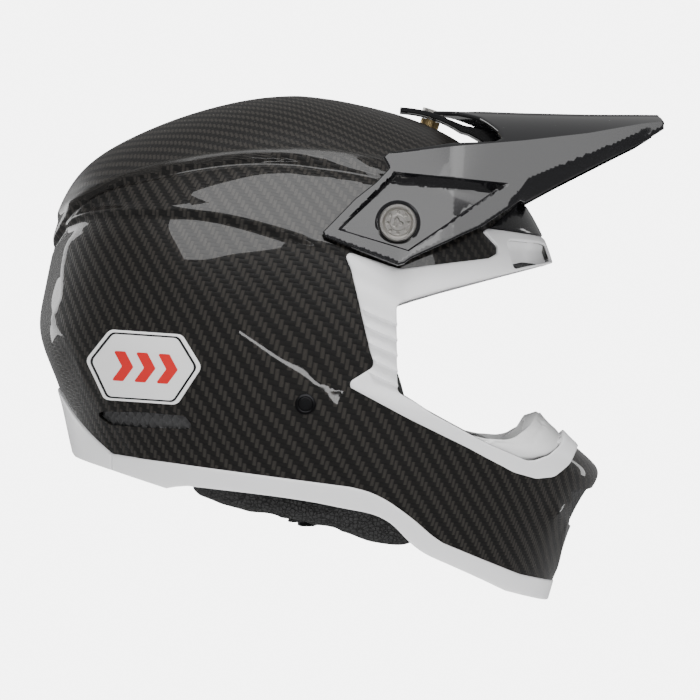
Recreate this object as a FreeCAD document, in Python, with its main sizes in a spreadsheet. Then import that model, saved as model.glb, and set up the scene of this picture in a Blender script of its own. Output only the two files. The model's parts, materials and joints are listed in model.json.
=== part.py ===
import FreeCAD, Part
import math
import os
import Sketcher

# Motocross helmet.  Millimetres, +X forward, +Z up, symmetric about the XZ plane.
# The origin is the centre of the ball on which the inner liner turns in the outer one.

V = FreeCAD.Vector
doc = FreeCAD.newDocument("motocross_helmet")

# ---------------------------------------------------------------- driving dimensions
DIMENSIONS = (
    ("shell_half_width", 125.0),
    ("shell_wall", 2.5),
    ("outline_bulge", 2.2),
    ("trim_gap", 0.3),
    ("trim_proud", 2.2),
    ("rim_proud", 1.5),
    ("rim_depth", 6.5),
    ("foam_gap", 3.0),
    ("ball_radius", 112.0),
    ("ball_gap", 0.6),
    ("head_half_length", 95.0),
    ("head_half_width", 75.0),
    ("head_half_height", 96.0),
    ("comfort_thick", 6.0),
    ("cheek_foam_depth", 22.0),
    ("chin_foam_depth", 20.0),
    ("cheek_gap", 62.0),
    ("cutter_span", 400.0),
    ("pivot_x", 67.0),
    ("pivot_z", 54.5),
    ("peak_wall", 2.6),
    ("boss_radius", 14.0),
    ("boss_inner", 104.5),
    ("peak_clearance", 1.8),
    ("boss_outer", 113.5),
    ("washer_radius", 10.0),
    ("washer_thick", 0.8),
    ("screw_head_radius", 11.2),
    ("screw_head_height", 4.6),
    ("screw_dish_radius", 8.6),
    ("screw_dish_depth", 1.0),
    ("screw_shank_radius", 3.9),
    ("screw_hole_radius", 4.0),
    ("insert_radius", 8.0),
    ("insert_inner", 90.0),
    ("insert_outer", 104.0),
    ("centre_angle", 18.0),
    ("tongue_radius", 74.2),
    ("tongue_thick", 3.6),
    ("centre_head_radius", 7.0),
    ("centre_head_height", 2.0),
    ("centre_shank_radius", 2.9),
    ("centre_hole_radius", 3.0),
    ("centre_insert_radius", 6.0),
    ("rivet_x", 12.0),
    ("rivet_z", -53.5),
    ("rivet_head_radius", 6.2),
    ("rivet_head_height", 1.8),
    ("rivet_shank_radius", 3.0),
    ("rivet_face", 124.9),
    ("rivet_inner", 94.0),
    ("hanger_thick", 1.6),
    ("hanger_face", 95.5),
    ("hanger_hole_radius", 3.05),
    ("strap_width", 24.0),
    ("strap_thick", 2.0),
    ("ring_wire_radius", 1.4),
    ("stud_radius", 4.0),
    ("stud_inner", 88.0),
    ("stud_outer", 102.0),
    ("socket_inner_radius", 4.4),
    ("socket_radius", 6.6),
    ("socket_inner", 98.6),
    ("socket_outer", 105.0),
    ("anchor_radius", 6.0),
    ("anchor_height", 8.0),
)

sheet = doc.addObject("Spreadsheet::Sheet", "dims")
for row, (alias, number) in enumerate(DIMENSIONS, start=1):
    sheet.set("A%d" % row, alias)
    sheet.set("B%d" % row, str(number))
    sheet.setAlias("B%d" % row, alias)
doc.recompute()


def dim(alias):
    """The number in the sheet's cell of that name."""
    return float(sheet.get(alias))


def value(expression):
    """The number that a sheet expression gives, for a sketch's first drawing."""
    return float(sheet.evalExpression(expression))


# ---------------------------------------------------------------- side outlines (x, z)
# The shell's outline in the middle plane, from the brow over the crown, round the nape,
# under the jaw (cut away later along the rim) and up the chin bar to the eye port.
SHELL_OUTLINE = (
    (162, 32), (150, 60), (131, 86), (105, 108), (69, 124), (12, 133), (-41, 126),
    (-96, 106), (-125, 86), (-143, 49), (-151, 13), (-153.5, -6), (-142, -43),
    (-132, -84), (-103, -144), (-33, -197), (55, -213), (111, -213), (143, -200),
    (157, -182), (162, -167), (170, -143), (185, -111), (191, -99), (178, -81),
    (159, -52), (163, -27), (166, 4),
)
SHELL_POLE = (7, -33.5)

# The rim rests on a plane that drops this much for each millimetre forward.
REST_SLOPE = 0.3078
REST_POINT = (-71.3, -104.2)


def rest_z(x):
    """Height of the resting plane at x."""
    return REST_POINT[1] - REST_SLOPE * (x - REST_POINT[0])


SHELL_HEM = (
    (-142, -44), (-133, -56), (-121, -69.5), (-104.5, -84), (38, -103), (60, -110.5),
    (81, -126.5), (92, -136), (141, -157), (172, -165.5),
)
RIM_BOTTOM = (
    (-132, -84.5), (-129.5, -87), (-104.8, rest_z(-104.8)), REST_POINT, (-64.5, -103),
    (-6, -108.5), (39, -116.5), (53, -119.5), (67, -127.5), (78, -139), (95, -148.5),
    (132, rest_z(132)), (170, rest_z(170)),
)
PORT = (
    (66, 6), (66, -47.5), (87, -60), (122, -78), (146, -88), (158, -85), (170, -76.5),
    (260, -76.5), (260, 58), (162, 32), (137.5, 26), (97, 15.5),
)
TRIM = (
    (34, 38), (39, 27), (50, -20.5), (53, -31), (38.5, -40.5), (38.5, -43.5), (74, -62.5),
    (108.5, -79.5), (136, -94.5), (150, -98.5), (161, -97.5), (170.5, -90.5), (178, -81),
    (230, -81), (230, 46.5), (156.5, 46.5), (154.5, 47.8), (121, 51.5), (118, 50),
    (126.5, 41), (126.5, 36.5), (121, 33.5), (68, 26.7),
)
BROW = ((122.5, 52), (157.5, 48.3), (220, 60), (170, 84), (145.5, 66.5), (142, 69.4))
BROW_VENT = ((132, 44), (157, 42.8), (175, 38), (175, 35.7), (137.6, 26.8))
MOUTHPIECE = (
    (114, -73.5), (125, -75), (136.5, -72.5), (144.5, -65.5), (152.5, -58.3), (157, -57),
    (169.5, -69.5), (167, -76.5), (158, -85), (146, -88), (122, -78),
)
EXHAUST = ((-115.5, -58.5), (-60, -61.3), (-54, -68), (-106, -66.8))
PAD = (
    (-50, -46), (48, -46), (50, -22), (64, -20), (72, -37), (77, -52), (98, -62),
    (98, -118), (84, -128), (78, -140), (74.5, -143.2), (64, -143), (38, -137.4),
    (-6, -126.3), (-41, -118), (-57.5, -112.5), (-62.5, -106.3), (-62.5, -99), (-50, -92),
)
PEAK_SIDE = (
    (54, 100), (58, 95.5), (62.5, 89), (54, 79.5), (41.5, 69.5), (22, 50.5), (22.5, 47),
    (68.5, 29), (73, 32.5), (118, 53), (142, 69.4), (145, 68.6), (170.5, 82), (202, 97.7),
    (218.5, 106), (229.5, 113), (230.5, 115.5), (228, 120), (226, 123), (150, 125),
    (78, 127),
)
PEAK_REAR = ((30, 140), (78, 140), (78, 124), (102, 122), (118, 117), (132, 106),
             (82, 99.2), (54, 95.5), (30, 95.5))

# Peak cross-sections: x, ridge height, shoulder (half width, height), foot half width at
# the foot height below.
PEAK_FOOT = 20
PEAK_SECTIONS = (
    (10, 127, 97, 95, 129), (67, 127, 98, 97, 126), (100, 126.5, 95, 101, 118),
    (143, 125, 84, 105, 100), (183, 124, 73, 110, 86), (215, 123.5, 64, 116, 74),
    (240, 123, 58, 119, 66),
)


# ---------------------------------------------------------------- feature helpers
def closed_wire(points):
    """A closed polygon in the middle plane through (x, z) points."""
    corners = [V(x, 0, z) for x, z in points]
    return Part.makePolygon(corners + corners[:1])


def shell_outline(inset):
    """The shell's outline moved inwards along its spokes, as offsets from the pole."""
    spokes = []
    for x, z in SHELL_OUTLINE:
        dx = x - SHELL_POLE[0]
        dz = z - SHELL_POLE[1]
        scale = 1 - inset / math.hypot(dx, dz)
        spokes.append((dx * scale, dz * scale))
    return spokes


blanks = {}


def blank(inset):
    """A solid with the shell's egg form, inset from the shell's outer face.

    Each slice at a share of the half width is the side outline drawn in towards the pole.
    """
    if inset in blanks:
        return blanks[inset]
    half_width = dim("shell_half_width") - inset
    bulge = dim("outline_bulge")
    slices = []
    for share in (-0.985, -0.93, -0.83, -0.68, -0.45, -0.2, 0, 0.2, 0.45, 0.68, 0.83, 0.93, 0.985):
        scale = (1 - abs(share) ** bulge) ** (1 / bulge)
        curve = Part.BSplineCurve()
        curve.interpolate(
            [V(SHELL_POLE[0] + dx * scale, share * half_width, SHELL_POLE[1] + dz * scale)
             for dx, dz in shell_outline(inset)],
            PeriodicFlag=True,
        )
        slices.append(Part.Wire([curve.toShape()]))
    feature = doc.addObject("Part::Feature", "blank_%d" % len(blanks))
    feature.Shape = Part.makeLoft(slices, True, False)
    blanks[inset] = feature
    return feature


def boolean(kind, base, tool):
    """One Part boolean of two document objects."""
    feature = doc.addObject("Part::" + kind, kind.lower())
    feature.Base = base
    feature.Tool = tool
    feature.Refine = False
    return feature


def cut(base, *tools):
    """The base less each tool in turn."""
    for tool in tools:
        base = boolean("Cut", base, tool)
    return base


def common(base, *tools):
    """What the base and every tool share."""
    for tool in tools:
        base = boolean("Common", base, tool)
    return base


def fuse(*parts):
    """Several objects as one solid."""
    feature = doc.addObject("Part::MultiFuse", "fuse")
    feature.Shapes = list(parts)
    return feature


def layer(outer, inner):
    """The skin between two insets of the shell's form: one solid with a hollow."""
    shells = [blank(outer).Shape.Shells[0], blank(inner).Shape.Shells[0].reversed()]
    feature = doc.addObject("Part::Feature", "layer")
    feature.Shape = Part.makeSolid(Part.makeCompound(shells))
    return feature


def prism(points, grow=0.0):
    """A side outline run right through the helmet, grown outwards by a margin."""
    wire = closed_wire(points)
    if grow:
        wire = wire.makeOffset2D(grow, 2)
    profile = doc.addObject("Part::Feature", "outline")
    profile.Shape = wire
    feature = doc.addObject("Part::Extrusion", "prism")
    feature.Base = profile
    feature.DirMode = "Custom"
    feature.Dir = V(0, 1, 0)
    feature.setExpression("LengthFwd", "dims.cutter_span")
    feature.Solid = True
    feature.Symmetric = True
    return feature


def block(x_range, y_range, z_range):
    """A box between two corners."""
    feature = doc.addObject("Part::Box", "block")
    feature.Length = x_range[1] - x_range[0]
    feature.Width = y_range[1] - y_range[0]
    feature.Height = z_range[1] - z_range[0]
    feature.Placement.Base = V(x_range[0], y_range[0], z_range[0])
    return feature


def rod(radius, length, placement):
    """A cylinder whose radius and length are sheet expressions."""
    feature = doc.addObject("Part::Cylinder", "rod")
    feature.setExpression("Radius", radius)
    feature.setExpression("Height", length)
    feature.Placement = placement
    return feature


def mirrored(source):
    """The same piece on the other side of the middle plane."""
    feature = doc.addObject("Part::Mirroring", "mirrored")
    feature.Source = source
    feature.Normal = V(0, 1, 0)
    return feature


def both_sides(source):
    """A piece and its mirror image, kept as two solids."""
    feature = doc.addObject("Part::Compound", "both_sides")
    feature.Links = [source, mirrored(source)]
    return feature


def origin_plane(body, role):
    """One of a body's own origin planes."""
    return next(item for item in body.Origin.OriginFeatures if item.Role == role)


def sketch_polygon(body, role, points):
    """A closed sketch whose corners are bound to sheet expressions."""
    sketch = body.newObject("Sketcher::SketchObject", "profile")
    sketch.AttachmentSupport = [(origin_plane(body, role), "")]
    sketch.MapMode = "FlatFace"
    corners = [V(value(a), value(b), 0) for a, b in points]
    count = len(corners)
    for index in range(count):
        sketch.addGeometry(Part.LineSegment(corners[index], corners[(index + 1) % count]))
    for index in range(count):
        sketch.addConstraint(Sketcher.Constraint("Coincident", index, 2, (index + 1) % count, 1))
    for index, (across, along) in enumerate(points):
        corner = corners[index]
        pairs = (("DistanceX", across, corner.x), ("DistanceY", along, corner.y))
        for kind, expression, number in pairs:
            added = sketch.addConstraint(Sketcher.Constraint(kind, -1, 1, index, 1, number))
            sketch.setExpression("Constraints[%d]" % added, expression)
    return sketch


def turned(points, placement):
    """A PartDesign body turned about its own Z axis from (radius, height) corners."""
    body = doc.addObject("PartDesign::Body", "turned")
    sketch = sketch_polygon(body, "XZ_Plane", points)
    revolution = body.newObject("PartDesign::Revolution", "revolution")
    revolution.Profile = sketch
    revolution.ReferenceAxis = (sketch, ["V_Axis"])
    revolution.Angle = 360
    body.Placement = placement
    return body


RIGHT = FreeCAD.Rotation(V(0, 0, 1), V(0, -1, 0))


def on_right(x, z, distance=0.0):
    """A placement whose own Z axis points out of the helmet's right side."""
    return FreeCAD.Placement(V(x, -distance, z), RIGHT)


subparts = []


def subpart(label, feature):
    """Name a finished piece."""
    feature.Label = label
    subparts.append(feature)
    return feature


# ---------------------------------------------------------------- shared cutters
pivot = (dim("pivot_x"), dim("pivot_z"))
rivet = (dim("rivet_x"), dim("rivet_z"))
right_half = block((-250, 300), (-200, 0), (-260, 200))
port = prism(PORT)
trim_port = prism(PORT, 2.6)
shell_port = prism(PORT, 3.2)
foam_port = prism(PORT, 7.0)
above_hem = ((-250, -44), *SHELL_HEM, (260, -190), (260, 200), (-250, 200))
brow_vents = cut(prism(BROW_VENT), block((100, 300), (-9, 9), (0, 100)))
shell_zone = prism(above_hem, -0.4)
foam_zone = prism(above_hem, -1.2)
centre_turn = FreeCAD.Rotation(V(0, 1, 0), dim("centre_angle"))


def on_crown(distance):
    """A placement on the centre screw's axis, at a distance from the peak's pivot line."""
    offset = centre_turn.multVec(V(0, 0, distance))
    return FreeCAD.Placement(V(pivot[0], 0, pivot[1]) + offset, centre_turn)


# ---------------------------------------------------------------- shell
def make_shell():
    """Carbon shell: one skin with its port, vents and fixing holes."""
    skin = common(layer(0, dim("shell_wall")), shell_zone)
    side_hole = rod("dims.insert_radius + 0.3", "80 mm", on_right(*pivot, 70))
    rivet_hole = rod("dims.rivet_shank_radius + 0.3", "60 mm", on_right(*rivet, 90))
    crown_hole = rod("dims.centre_insert_radius + 0.3", "40 mm", on_crown(50))
    mouth = block((160, 220), (-36, 36), (-131, -106))
    exhaust = prism(EXHAUST)
    return subpart("outer_shell", cut(
        skin, shell_port, brow_vents, exhaust, mouth, crown_hole,
        side_hole, mirrored(side_hole), rivet_hole, mirrored(rivet_hole)))


def make_port_trim():
    """White moulding round the port, wrapped over the shell's edge."""
    moulding = common(blank(-dim("trim_proud")), prism(TRIM))
    shell_space = cut(blank(-dim("trim_gap")), trim_port)
    return subpart("eyeport_trim", cut(moulding, port, shell_space, blank(5), brow_vents))


def make_brow():
    """Black brow cover and the mesh inserts under it."""
    cover = common(layer(-dim("trim_proud"), -dim("trim_gap")), prism(BROW))
    subpart("brow_cover", cover)
    opening = cut(prism(BROW_VENT, -0.4), block((100, 300), (-9.4, 9.4), (0, 100)))
    mesh = common(layer(0.2, 2.2), opening)
    subpart("brow_vent_inserts", mesh)


def make_rim():
    """White rim mouldings, split behind the ears into a nape piece and a front piece."""
    outline = [*SHELL_HEM, *reversed(RIM_BOTTOM)]
    band = common(layer(-dim("rim_proud"), dim("rim_depth")), prism(outline, -0.1))
    rear = block((-250, -105), (-200, 200), (-250, 100))
    front = block((-104.6, 300), (-200, 200), (-250, 100))
    subpart("rear_edge_trim", common(band, rear))
    subpart("lower_edge_trim", common(band, front))


def make_chin():
    """Chin-bar foam and lining, mouthpiece and front grille."""
    bar = cut(common(foam_zone, block((66.5, 300), (-200, 200), (-250, 0))), foam_port)
    channel = block((120, 240), (-36, 36), (-131, -106))
    foam = cut(common(layer(dim("foam_gap"), dim("chin_foam_depth")), bar), channel)
    subpart("chin_bar_foam", foam)
    depth = dim("chin_foam_depth")
    subpart("chin_bar_lining", cut(common(layer(depth + 0.4, depth + 4.4), bar), channel))
    guard = common(layer(5.6, 16), prism(MOUTHPIECE, -0.2))
    subpart("mouthpiece", guard)
    opening = block((160.5, 220), (-35.5, 35.5), (-130.5, -106.5))
    grille = common(layer(0.4, 2.2), opening)
    slots = [block((150, 230), (y - 2.2, y + 2.2), (z - 3, z + 3))
             for y in range(-28, 29, 8) for z in (-125, -118.5, -112)]
    subpart("mouth_vent_grille", cut(grille, fuse(*slots)))


def make_exhausts():
    """Meshed exhaust inserts, one each side."""
    insert = common(layer(0.2, 2.2), prism(EXHAUST, -0.4), right_half)
    slots = [block((x - 1.5, x + 1.5), (-200, 0), (-66.3, -62)) for x in range(-100, -60, 6)]
    subpart("exhaust_grilles", both_sides(cut(insert, fuse(*slots))))


BADGE_CENTRE = (-84.5, -31.5)
BADGE_SIZE = (70.0, 42.0)
BADGE_TILT = math.radians(-4)


def badge_outline():
    """A six-sided badge with blunt ends, tilted a little."""
    half_long = BADGE_SIZE[0] / 2
    half_high = BADGE_SIZE[1] / 2
    corners = ((-0.62, 1), (0.62, 1), (1, 0.12), (0.62, -1), (-0.62, -1), (-1, 0.12))
    outline = []
    for along, up in corners:
        a = along * half_long
        b = up * half_high
        outline.append((BADGE_CENTRE[0] + a * math.cos(BADGE_TILT) - b * math.sin(BADGE_TILT),
                        BADGE_CENTRE[1] + a * math.sin(BADGE_TILT) + b * math.cos(BADGE_TILT)))
    return outline


def make_badges():
    """Thin raised badges."""
    badge = common(layer(-1.4, -0.2), prism(badge_outline()), right_half)
    subpart("side_badges", both_sides(badge))


# ---------------------------------------------------------------- liners
def ball(radius):
    """A sphere about the origin."""
    feature = doc.addObject("Part::Sphere", "ball")
    feature.setExpression("Radius", radius)
    return feature


def head(margin):
    """The head's ellipsoid, grown by a margin."""
    feature = doc.addObject("Part::Ellipsoid", "head")
    feature.setExpression("Radius1", "dims.head_half_height + %s" % margin)
    feature.setExpression("Radius2", "dims.head_half_length + %s" % margin)
    feature.setExpression("Radius3", "dims.head_half_width + %s" % margin)
    return feature


def make_liners():
    """Outer foam with its ball socket, inner foam ball and fabric comfort liner."""
    foam = cut(common(blank(dim("foam_gap")), foam_zone), foam_port,
               block((66, 300), (-200, 200), (-250, 8)))
    jaw = fuse(block((-200, 300), (-200, 200), (-260, -30)), block((46, 300), (-200, 200), (-31, -17)))
    jaw_space = common(blank(dim("cheek_foam_depth")), jaw)
    anchor_room = [rod("dims.anchor_radius * 3", "dims.anchor_height", anchor_place(turn, 110.5))
                   for turn in ANCHOR_TURNS]
    side_hole = rod("dims.insert_radius + 0.5", "80 mm", on_right(*pivot, 60))
    side_flange = rod("dims.insert_radius + 3.5", "dims.insert_inner - 58", on_right(*pivot, 60))
    rivet_hole = rod("dims.rivet_shank_radius + 0.5", "60 mm", on_right(*rivet, 90))
    crown_hole = fuse(rod("dims.centre_insert_radius + 0.5", "50 mm", on_crown(20)),
                      rod("dims.centre_insert_radius + 3", "38.5 mm", on_crown(20)))
    sockets = [rod("dims.socket_radius + 0.4", "20 mm", on_right(x, z, dim("socket_inner") - 12))
               for x, z in SNAPS]
    holes = [side_hole, side_flange, rivet_hole, *sockets]
    subpart("impact_liner", cut(
        foam, fuse(ball("dims.ball_radius"), jaw_space), crown_hole, fuse(*anchor_room),
        *holes, *[mirrored(hole) for hole in holes]))

    crown = prism(LINER_SIDE)
    shell_ball = common(cut(ball("dims.ball_radius - dims.ball_gap"),
                            head("dims.comfort_thick + 0.4")), crown)
    pockets = [rod("dims.anchor_radius + 0.2", "40 mm", anchor_place(turn, 104))
               for turn in ANCHOR_TURNS]
    subpart("inner_liner", cut(shell_ball, fuse(*pockets)))
    pad = common(cut(head("dims.comfort_thick"), head("0")), prism(LINER_SIDE, -2))
    subpart("comfort_liner", pad)
    anchors = doc.addObject("Part::Compound", "anchors")
    anchors.Links = [rod("dims.anchor_radius", "dims.anchor_height", anchor_place(turn, 104.2))
                     for turn in ANCHOR_TURNS]
    subpart("liner_anchors", anchors)


LINER_SIDE = ((-200, -75), (-68, -75), (-68, -40), (36, -40), (36, 24), (200, 24), (200, 200),
              (-200, 200))
ANCHOR_TURNS = (30, 150, 210, 330)
ANCHOR_RISE = 35


def anchor_place(turn, distance):
    """A placement on a liner anchor's axis through the ball centre."""
    rotation = FreeCAD.Rotation(V(0, 0, 1), turn) * FreeCAD.Rotation(V(0, 1, 0), 90 - ANCHOR_RISE)
    return FreeCAD.Placement(rotation.multVec(V(0, 0, distance)), rotation)


# ---------------------------------------------------------------- pads
SNAPS = ((-33, -74), (48, -84))
PAD_DEPTH = 25.0


def make_pads():
    """Neck roll, cheek pads with their backing plates, studs and sockets."""
    nape = block((-200, -66), (-200, 200), (-97, -78))
    subpart("neck_roll", common(layer(24, 38), nape))

    notch = block((-14, 38), (-200, 0), (-104, -40))
    plate_notch = block((-14, 38), (-200, 0), (-96, -40))
    low_notch = block((-14, 38), (-73, 0), (-150, -95))
    face = block((-200, 200), (-dim("cheek_gap"), 0), (-200, 0))
    pad = cut(common(blank(PAD_DEPTH), prism(PAD), right_half), face, notch, low_notch)
    plate_zone = prism(((-46, -52), (44, -52), (58, -60), (58, -104), (-46, -97)))
    plate = cut(common(layer(dim("cheek_foam_depth") + 0.6, PAD_DEPTH - 0.4), plate_zone,
                       right_half), plate_notch)
    studs = doc.addObject("Part::Compound", "studs")
    studs.Links = [
        turned((("0", "0"), ("dims.stud_radius", "0"),
                ("dims.stud_radius", "dims.stud_outer - dims.stud_inner - 1"),
                ("dims.stud_radius - 1", "dims.stud_outer - dims.stud_inner"),
                ("0", "dims.stud_outer - dims.stud_inner")),
               on_right(x, z, dim("stud_inner")))
        for x, z in SNAPS]
    for label, piece in (("cheek_pad", pad), ("cheek_plate", plate), ("cheek_studs", studs)):
        other = mirrored(piece)
        subpart(label + "_right", piece)
        subpart(label + "_left", other)
    sockets = doc.addObject("Part::Compound", "sockets")
    rings = [
        turned((("dims.socket_inner_radius", "0"), ("dims.socket_radius", "0"),
                ("dims.socket_radius", "dims.socket_outer - dims.socket_inner"),
                ("dims.socket_inner_radius", "dims.socket_outer - dims.socket_inner")),
               on_right(x, z, dim("socket_inner")))
        for x, z in SNAPS]
    sockets.Links = rings + [mirrored(ring) for ring in rings]
    subpart("pad_snap_sockets", sockets)


# ---------------------------------------------------------------- chin strap
def make_rivets():
    """Strap rivets: domed head outside, shank through shell and foam."""
    length = "(dims.rivet_face - dims.rivet_inner)"
    rivet_body = turned((
        ("0", "0"), ("dims.rivet_shank_radius + 2", "0"), ("dims.rivet_shank_radius + 2", "1"),
        ("dims.rivet_shank_radius", "1"), ("dims.rivet_shank_radius", length),
        ("dims.rivet_head_radius", length),
        ("dims.rivet_head_radius", length + " + dims.rivet_head_height * 0.5"),
        ("dims.rivet_head_radius * 0.7", length + " + dims.rivet_head_height"),
        ("0", length + " + dims.rivet_head_height")),
        on_right(*rivet, dim("rivet_inner")))
    subpart("strap_rivets", both_sides(rivet_body))


def ribbon(path, side):
    """A strap of even thickness along a (y, z) path, as wide as the webbing."""
    half = dim("strap_thick") / 2
    points = [V(rivet[0] - dim("strap_width") / 2, side * y, z) for y, z in path]
    edges = [[], []]
    for index, point in enumerate(points):
        before = points[max(index - 1, 0)]
        after = points[min(index + 1, len(points) - 1)]
        along = (after - before).normalize()
        across = V(0, -along.z, along.y)
        edges[0].append(point + across * half)
        edges[1].append(point - across * half)
    curves = []
    for edge in edges:
        curve = Part.BSplineCurve()
        curve.interpolate(edge)
        curves.append(curve.toShape())
    ends = [Part.makeLine(edges[0][end], edges[1][end]) for end in (0, -1)]
    profile = doc.addObject("Part::Feature", "ribbon_edge")
    profile.Shape = Part.Wire(Part.__sortEdges__([*curves, *ends]))
    feature = doc.addObject("Part::Extrusion", "ribbon")
    feature.Base = profile
    feature.DirMode = "Custom"
    feature.Dir = V(1, 0, 0)
    feature.setExpression("LengthFwd", "dims.strap_width")
    feature.Solid = True
    return feature


RING_BAR = (34.0, -118.5)
RING_DEPTH = 22.0
RING_STEP = 4.0


def make_strap():
    """Chin strap: steel hangers on the rivets, short and long webbing, two D-rings."""
    tab = doc.addObject("PartDesign::Body", "hanger")
    corners = (("-9", "-24"), ("9", "-24"), ("9", "3"), ("5", "8"), ("-5", "8"), ("-9", "3"))
    pad_feature = tab.newObject("PartDesign::Pad", "pad")
    pad_feature.Profile = sketch_polygon(tab, "XZ_Plane", corners)
    pad_feature.setExpression("Length", "dims.hanger_thick")
    tab.Placement = FreeCAD.Placement(V(rivet[0], -dim("hanger_face"), rivet[1]),
                                      FreeCAD.Rotation())
    bore = rod("dims.hanger_hole_radius", "20 mm", on_right(*rivet, dim("hanger_face") - 8))
    subpart("strap_hangers", both_sides(cut(tab, bore)))

    face = dim("hanger_face") - dim("strap_thick") / 2 - 1.2
    drop = ((face, rivet[1] - 9), (face, rivet[1] - 22), (84, -88), (67, -100), (52, -109))
    short = ribbon((*drop, (44, -114), (39.2, -119.5)), 1)
    loop = turned((("4.2", "0"), ("6.2", "0"), ("6.2", "24"), ("4.2", "24")), FreeCAD.Placement(
        V(rivet[0] - 12, RING_BAR[0], RING_BAR[1] - RING_STEP / 2),
        FreeCAD.Rotation(V(0, 0, 1), V(1, 0, 0))))
    subpart("short_strap", fuse(short, loop))
    long_path = (*drop, (38, -113.5), (10, -114.3), (-12, -114.1), (-20, -115), (-24.8, -120.4),
                 (-20, -126), (-12, -126.9), (10, -127))
    subpart("long_strap", ribbon(long_path, -1))
    cap = turned((("0", "0"), ("6", "0"), ("6", "1.6"), ("4", "2.4"), ("0", "2.4")),
                 FreeCAD.Placement(V(rivet[0], -5, -128.05), FreeCAD.Rotation(V(1, 0, 0), 180)))
    subpart("strap_snap", cap)
    rings = doc.addObject("Part::Compound", "rings")
    rings.Links = [d_ring(RING_BAR[1] - step) for step in (0, RING_STEP)]
    subpart("d_rings", rings)


def d_ring(height):
    """A wire D: a straight bar in the short strap's loop and a bow towards the long strap."""
    half = dim("strap_width") / 2 + 2
    left = rivet[0] - half
    right = rivet[0] + half
    bar = RING_BAR[0]
    bow = bar - RING_DEPTH
    near = bar - RING_DEPTH / 2
    edges = [
        Part.makeLine(V(left, bar, height), V(right, bar, height)),
        Part.makeLine(V(right, bar, height), V(right, near, height)),
        Part.Arc(V(right, near, height), V(rivet[0], bow, height), V(left, near, height)).toShape(),
        Part.makeLine(V(left, near, height), V(left, bar, height)),
    ]
    path = doc.addObject("Part::Feature", "ring_path")
    path.Shape = Part.Wire(edges)
    wire = doc.addObject("Part::Circle", "ring_wire")
    wire.setExpression("Radius", "dims.ring_wire_radius")
    wire.Placement = FreeCAD.Placement(V(rivet[0], bar, height), FreeCAD.Rotation(V(0, 1, 0), 90))
    sweep = doc.addObject("Part::Sweep", "ring")
    sweep.Sections = [wire]
    sweep.Spine = (path, ["Edge1", "Edge2", "Edge3", "Edge4"])
    sweep.Solid = True
    sweep.Transition = "Round corner"
    return sweep


# ---------------------------------------------------------------- peak
def peak_form(inset):
    """The peak's arched form: straight-sided sections joined along the helmet."""
    wires = []
    for x, ridge, shoulder, shoulder_z, foot in PEAK_SECTIONS:
        half = [(0, ridge - inset), (shoulder * 0.45, ridge - 0.18 * (ridge - shoulder_z) - inset),
                (shoulder - inset * 0.8, shoulder_z - inset * 0.8), (foot - inset, PEAK_FOOT)]
        ring = half + [(-y, z) for y, z in reversed(half[1:])]
        points = [V(x, y, z) for y, z in ring]
        wires.append(Part.makePolygon(points + points[:1]))
    feature = doc.addObject("Part::Feature", "peak_form")
    feature.Shape = Part.makeLoft(wires, True, True)
    return feature


def make_peak():
    """Peak: a thin arch cut to its side and plan outlines, with bosses at the pivot."""
    arch = cut(peak_form(0), peak_form(dim("peak_wall")))
    sheet_part = cut(common(arch, prism(PEAK_SIDE)), prism(PEAK_REAR))
    boss = rod("dims.boss_radius", "dims.boss_outer - dims.boss_inner",
               on_right(*pivot, dim("boss_inner")))
    hole = rod("dims.screw_hole_radius", "40 mm", on_right(*pivot, 90))
    seat = rod("dims.screw_head_radius + 0.6", "30 mm", on_right(*pivot, dim("boss_outer")))
    head_channel = block((-15.8, 15.8), (-7.8, 7.8), (0, 30))
    head_channel.Placement = on_crown(70).multiply(head_channel.Placement)
    across = FreeCAD.Placement(V(pivot[0], 15, pivot[1]), RIGHT)
    head_room = cut(head_channel, rod("dims.tongue_radius + 0.05", "30 mm", across))
    reach = [on_crown(60).Base + centre_turn.multVec(V(shift, 0, 0)) for shift in (-8, 8)]
    slot = fuse(*[rod("dims.centre_shank_radius + 0.8", "40 mm",
                      FreeCAD.Placement(base, centre_turn)) for base in reach],
                slot_block())
    drum = cut(rod("dims.tongue_radius", "30 mm", across),
               rod("dims.tongue_radius - dims.tongue_thick", "30 mm", across))
    wedge = prism((pivot, (pivot[0] + 2, pivot[1] + 90), (pivot[0] + 52, pivot[1] + 76)))
    tongue = common(drum, wedge)
    body = cut(fuse(sheet_part, boss, mirrored(boss), tongue), blank(-dim("peak_clearance")),
               hole, mirrored(hole), seat, mirrored(seat), slot, head_room)
    subpart("peak", body)


def slot_block():
    """The straight middle of the centre screw's slot."""
    width = dim("centre_shank_radius") + 0.8
    feature = doc.addObject("Part::Box", "slot_block")
    feature.Length = 16
    feature.Width = 2 * width
    feature.Height = 40
    feature.Placement = FreeCAD.Placement(
        on_crown(60).Base + centre_turn.multVec(V(-8, -width, 0)), centre_turn)
    return feature


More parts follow.
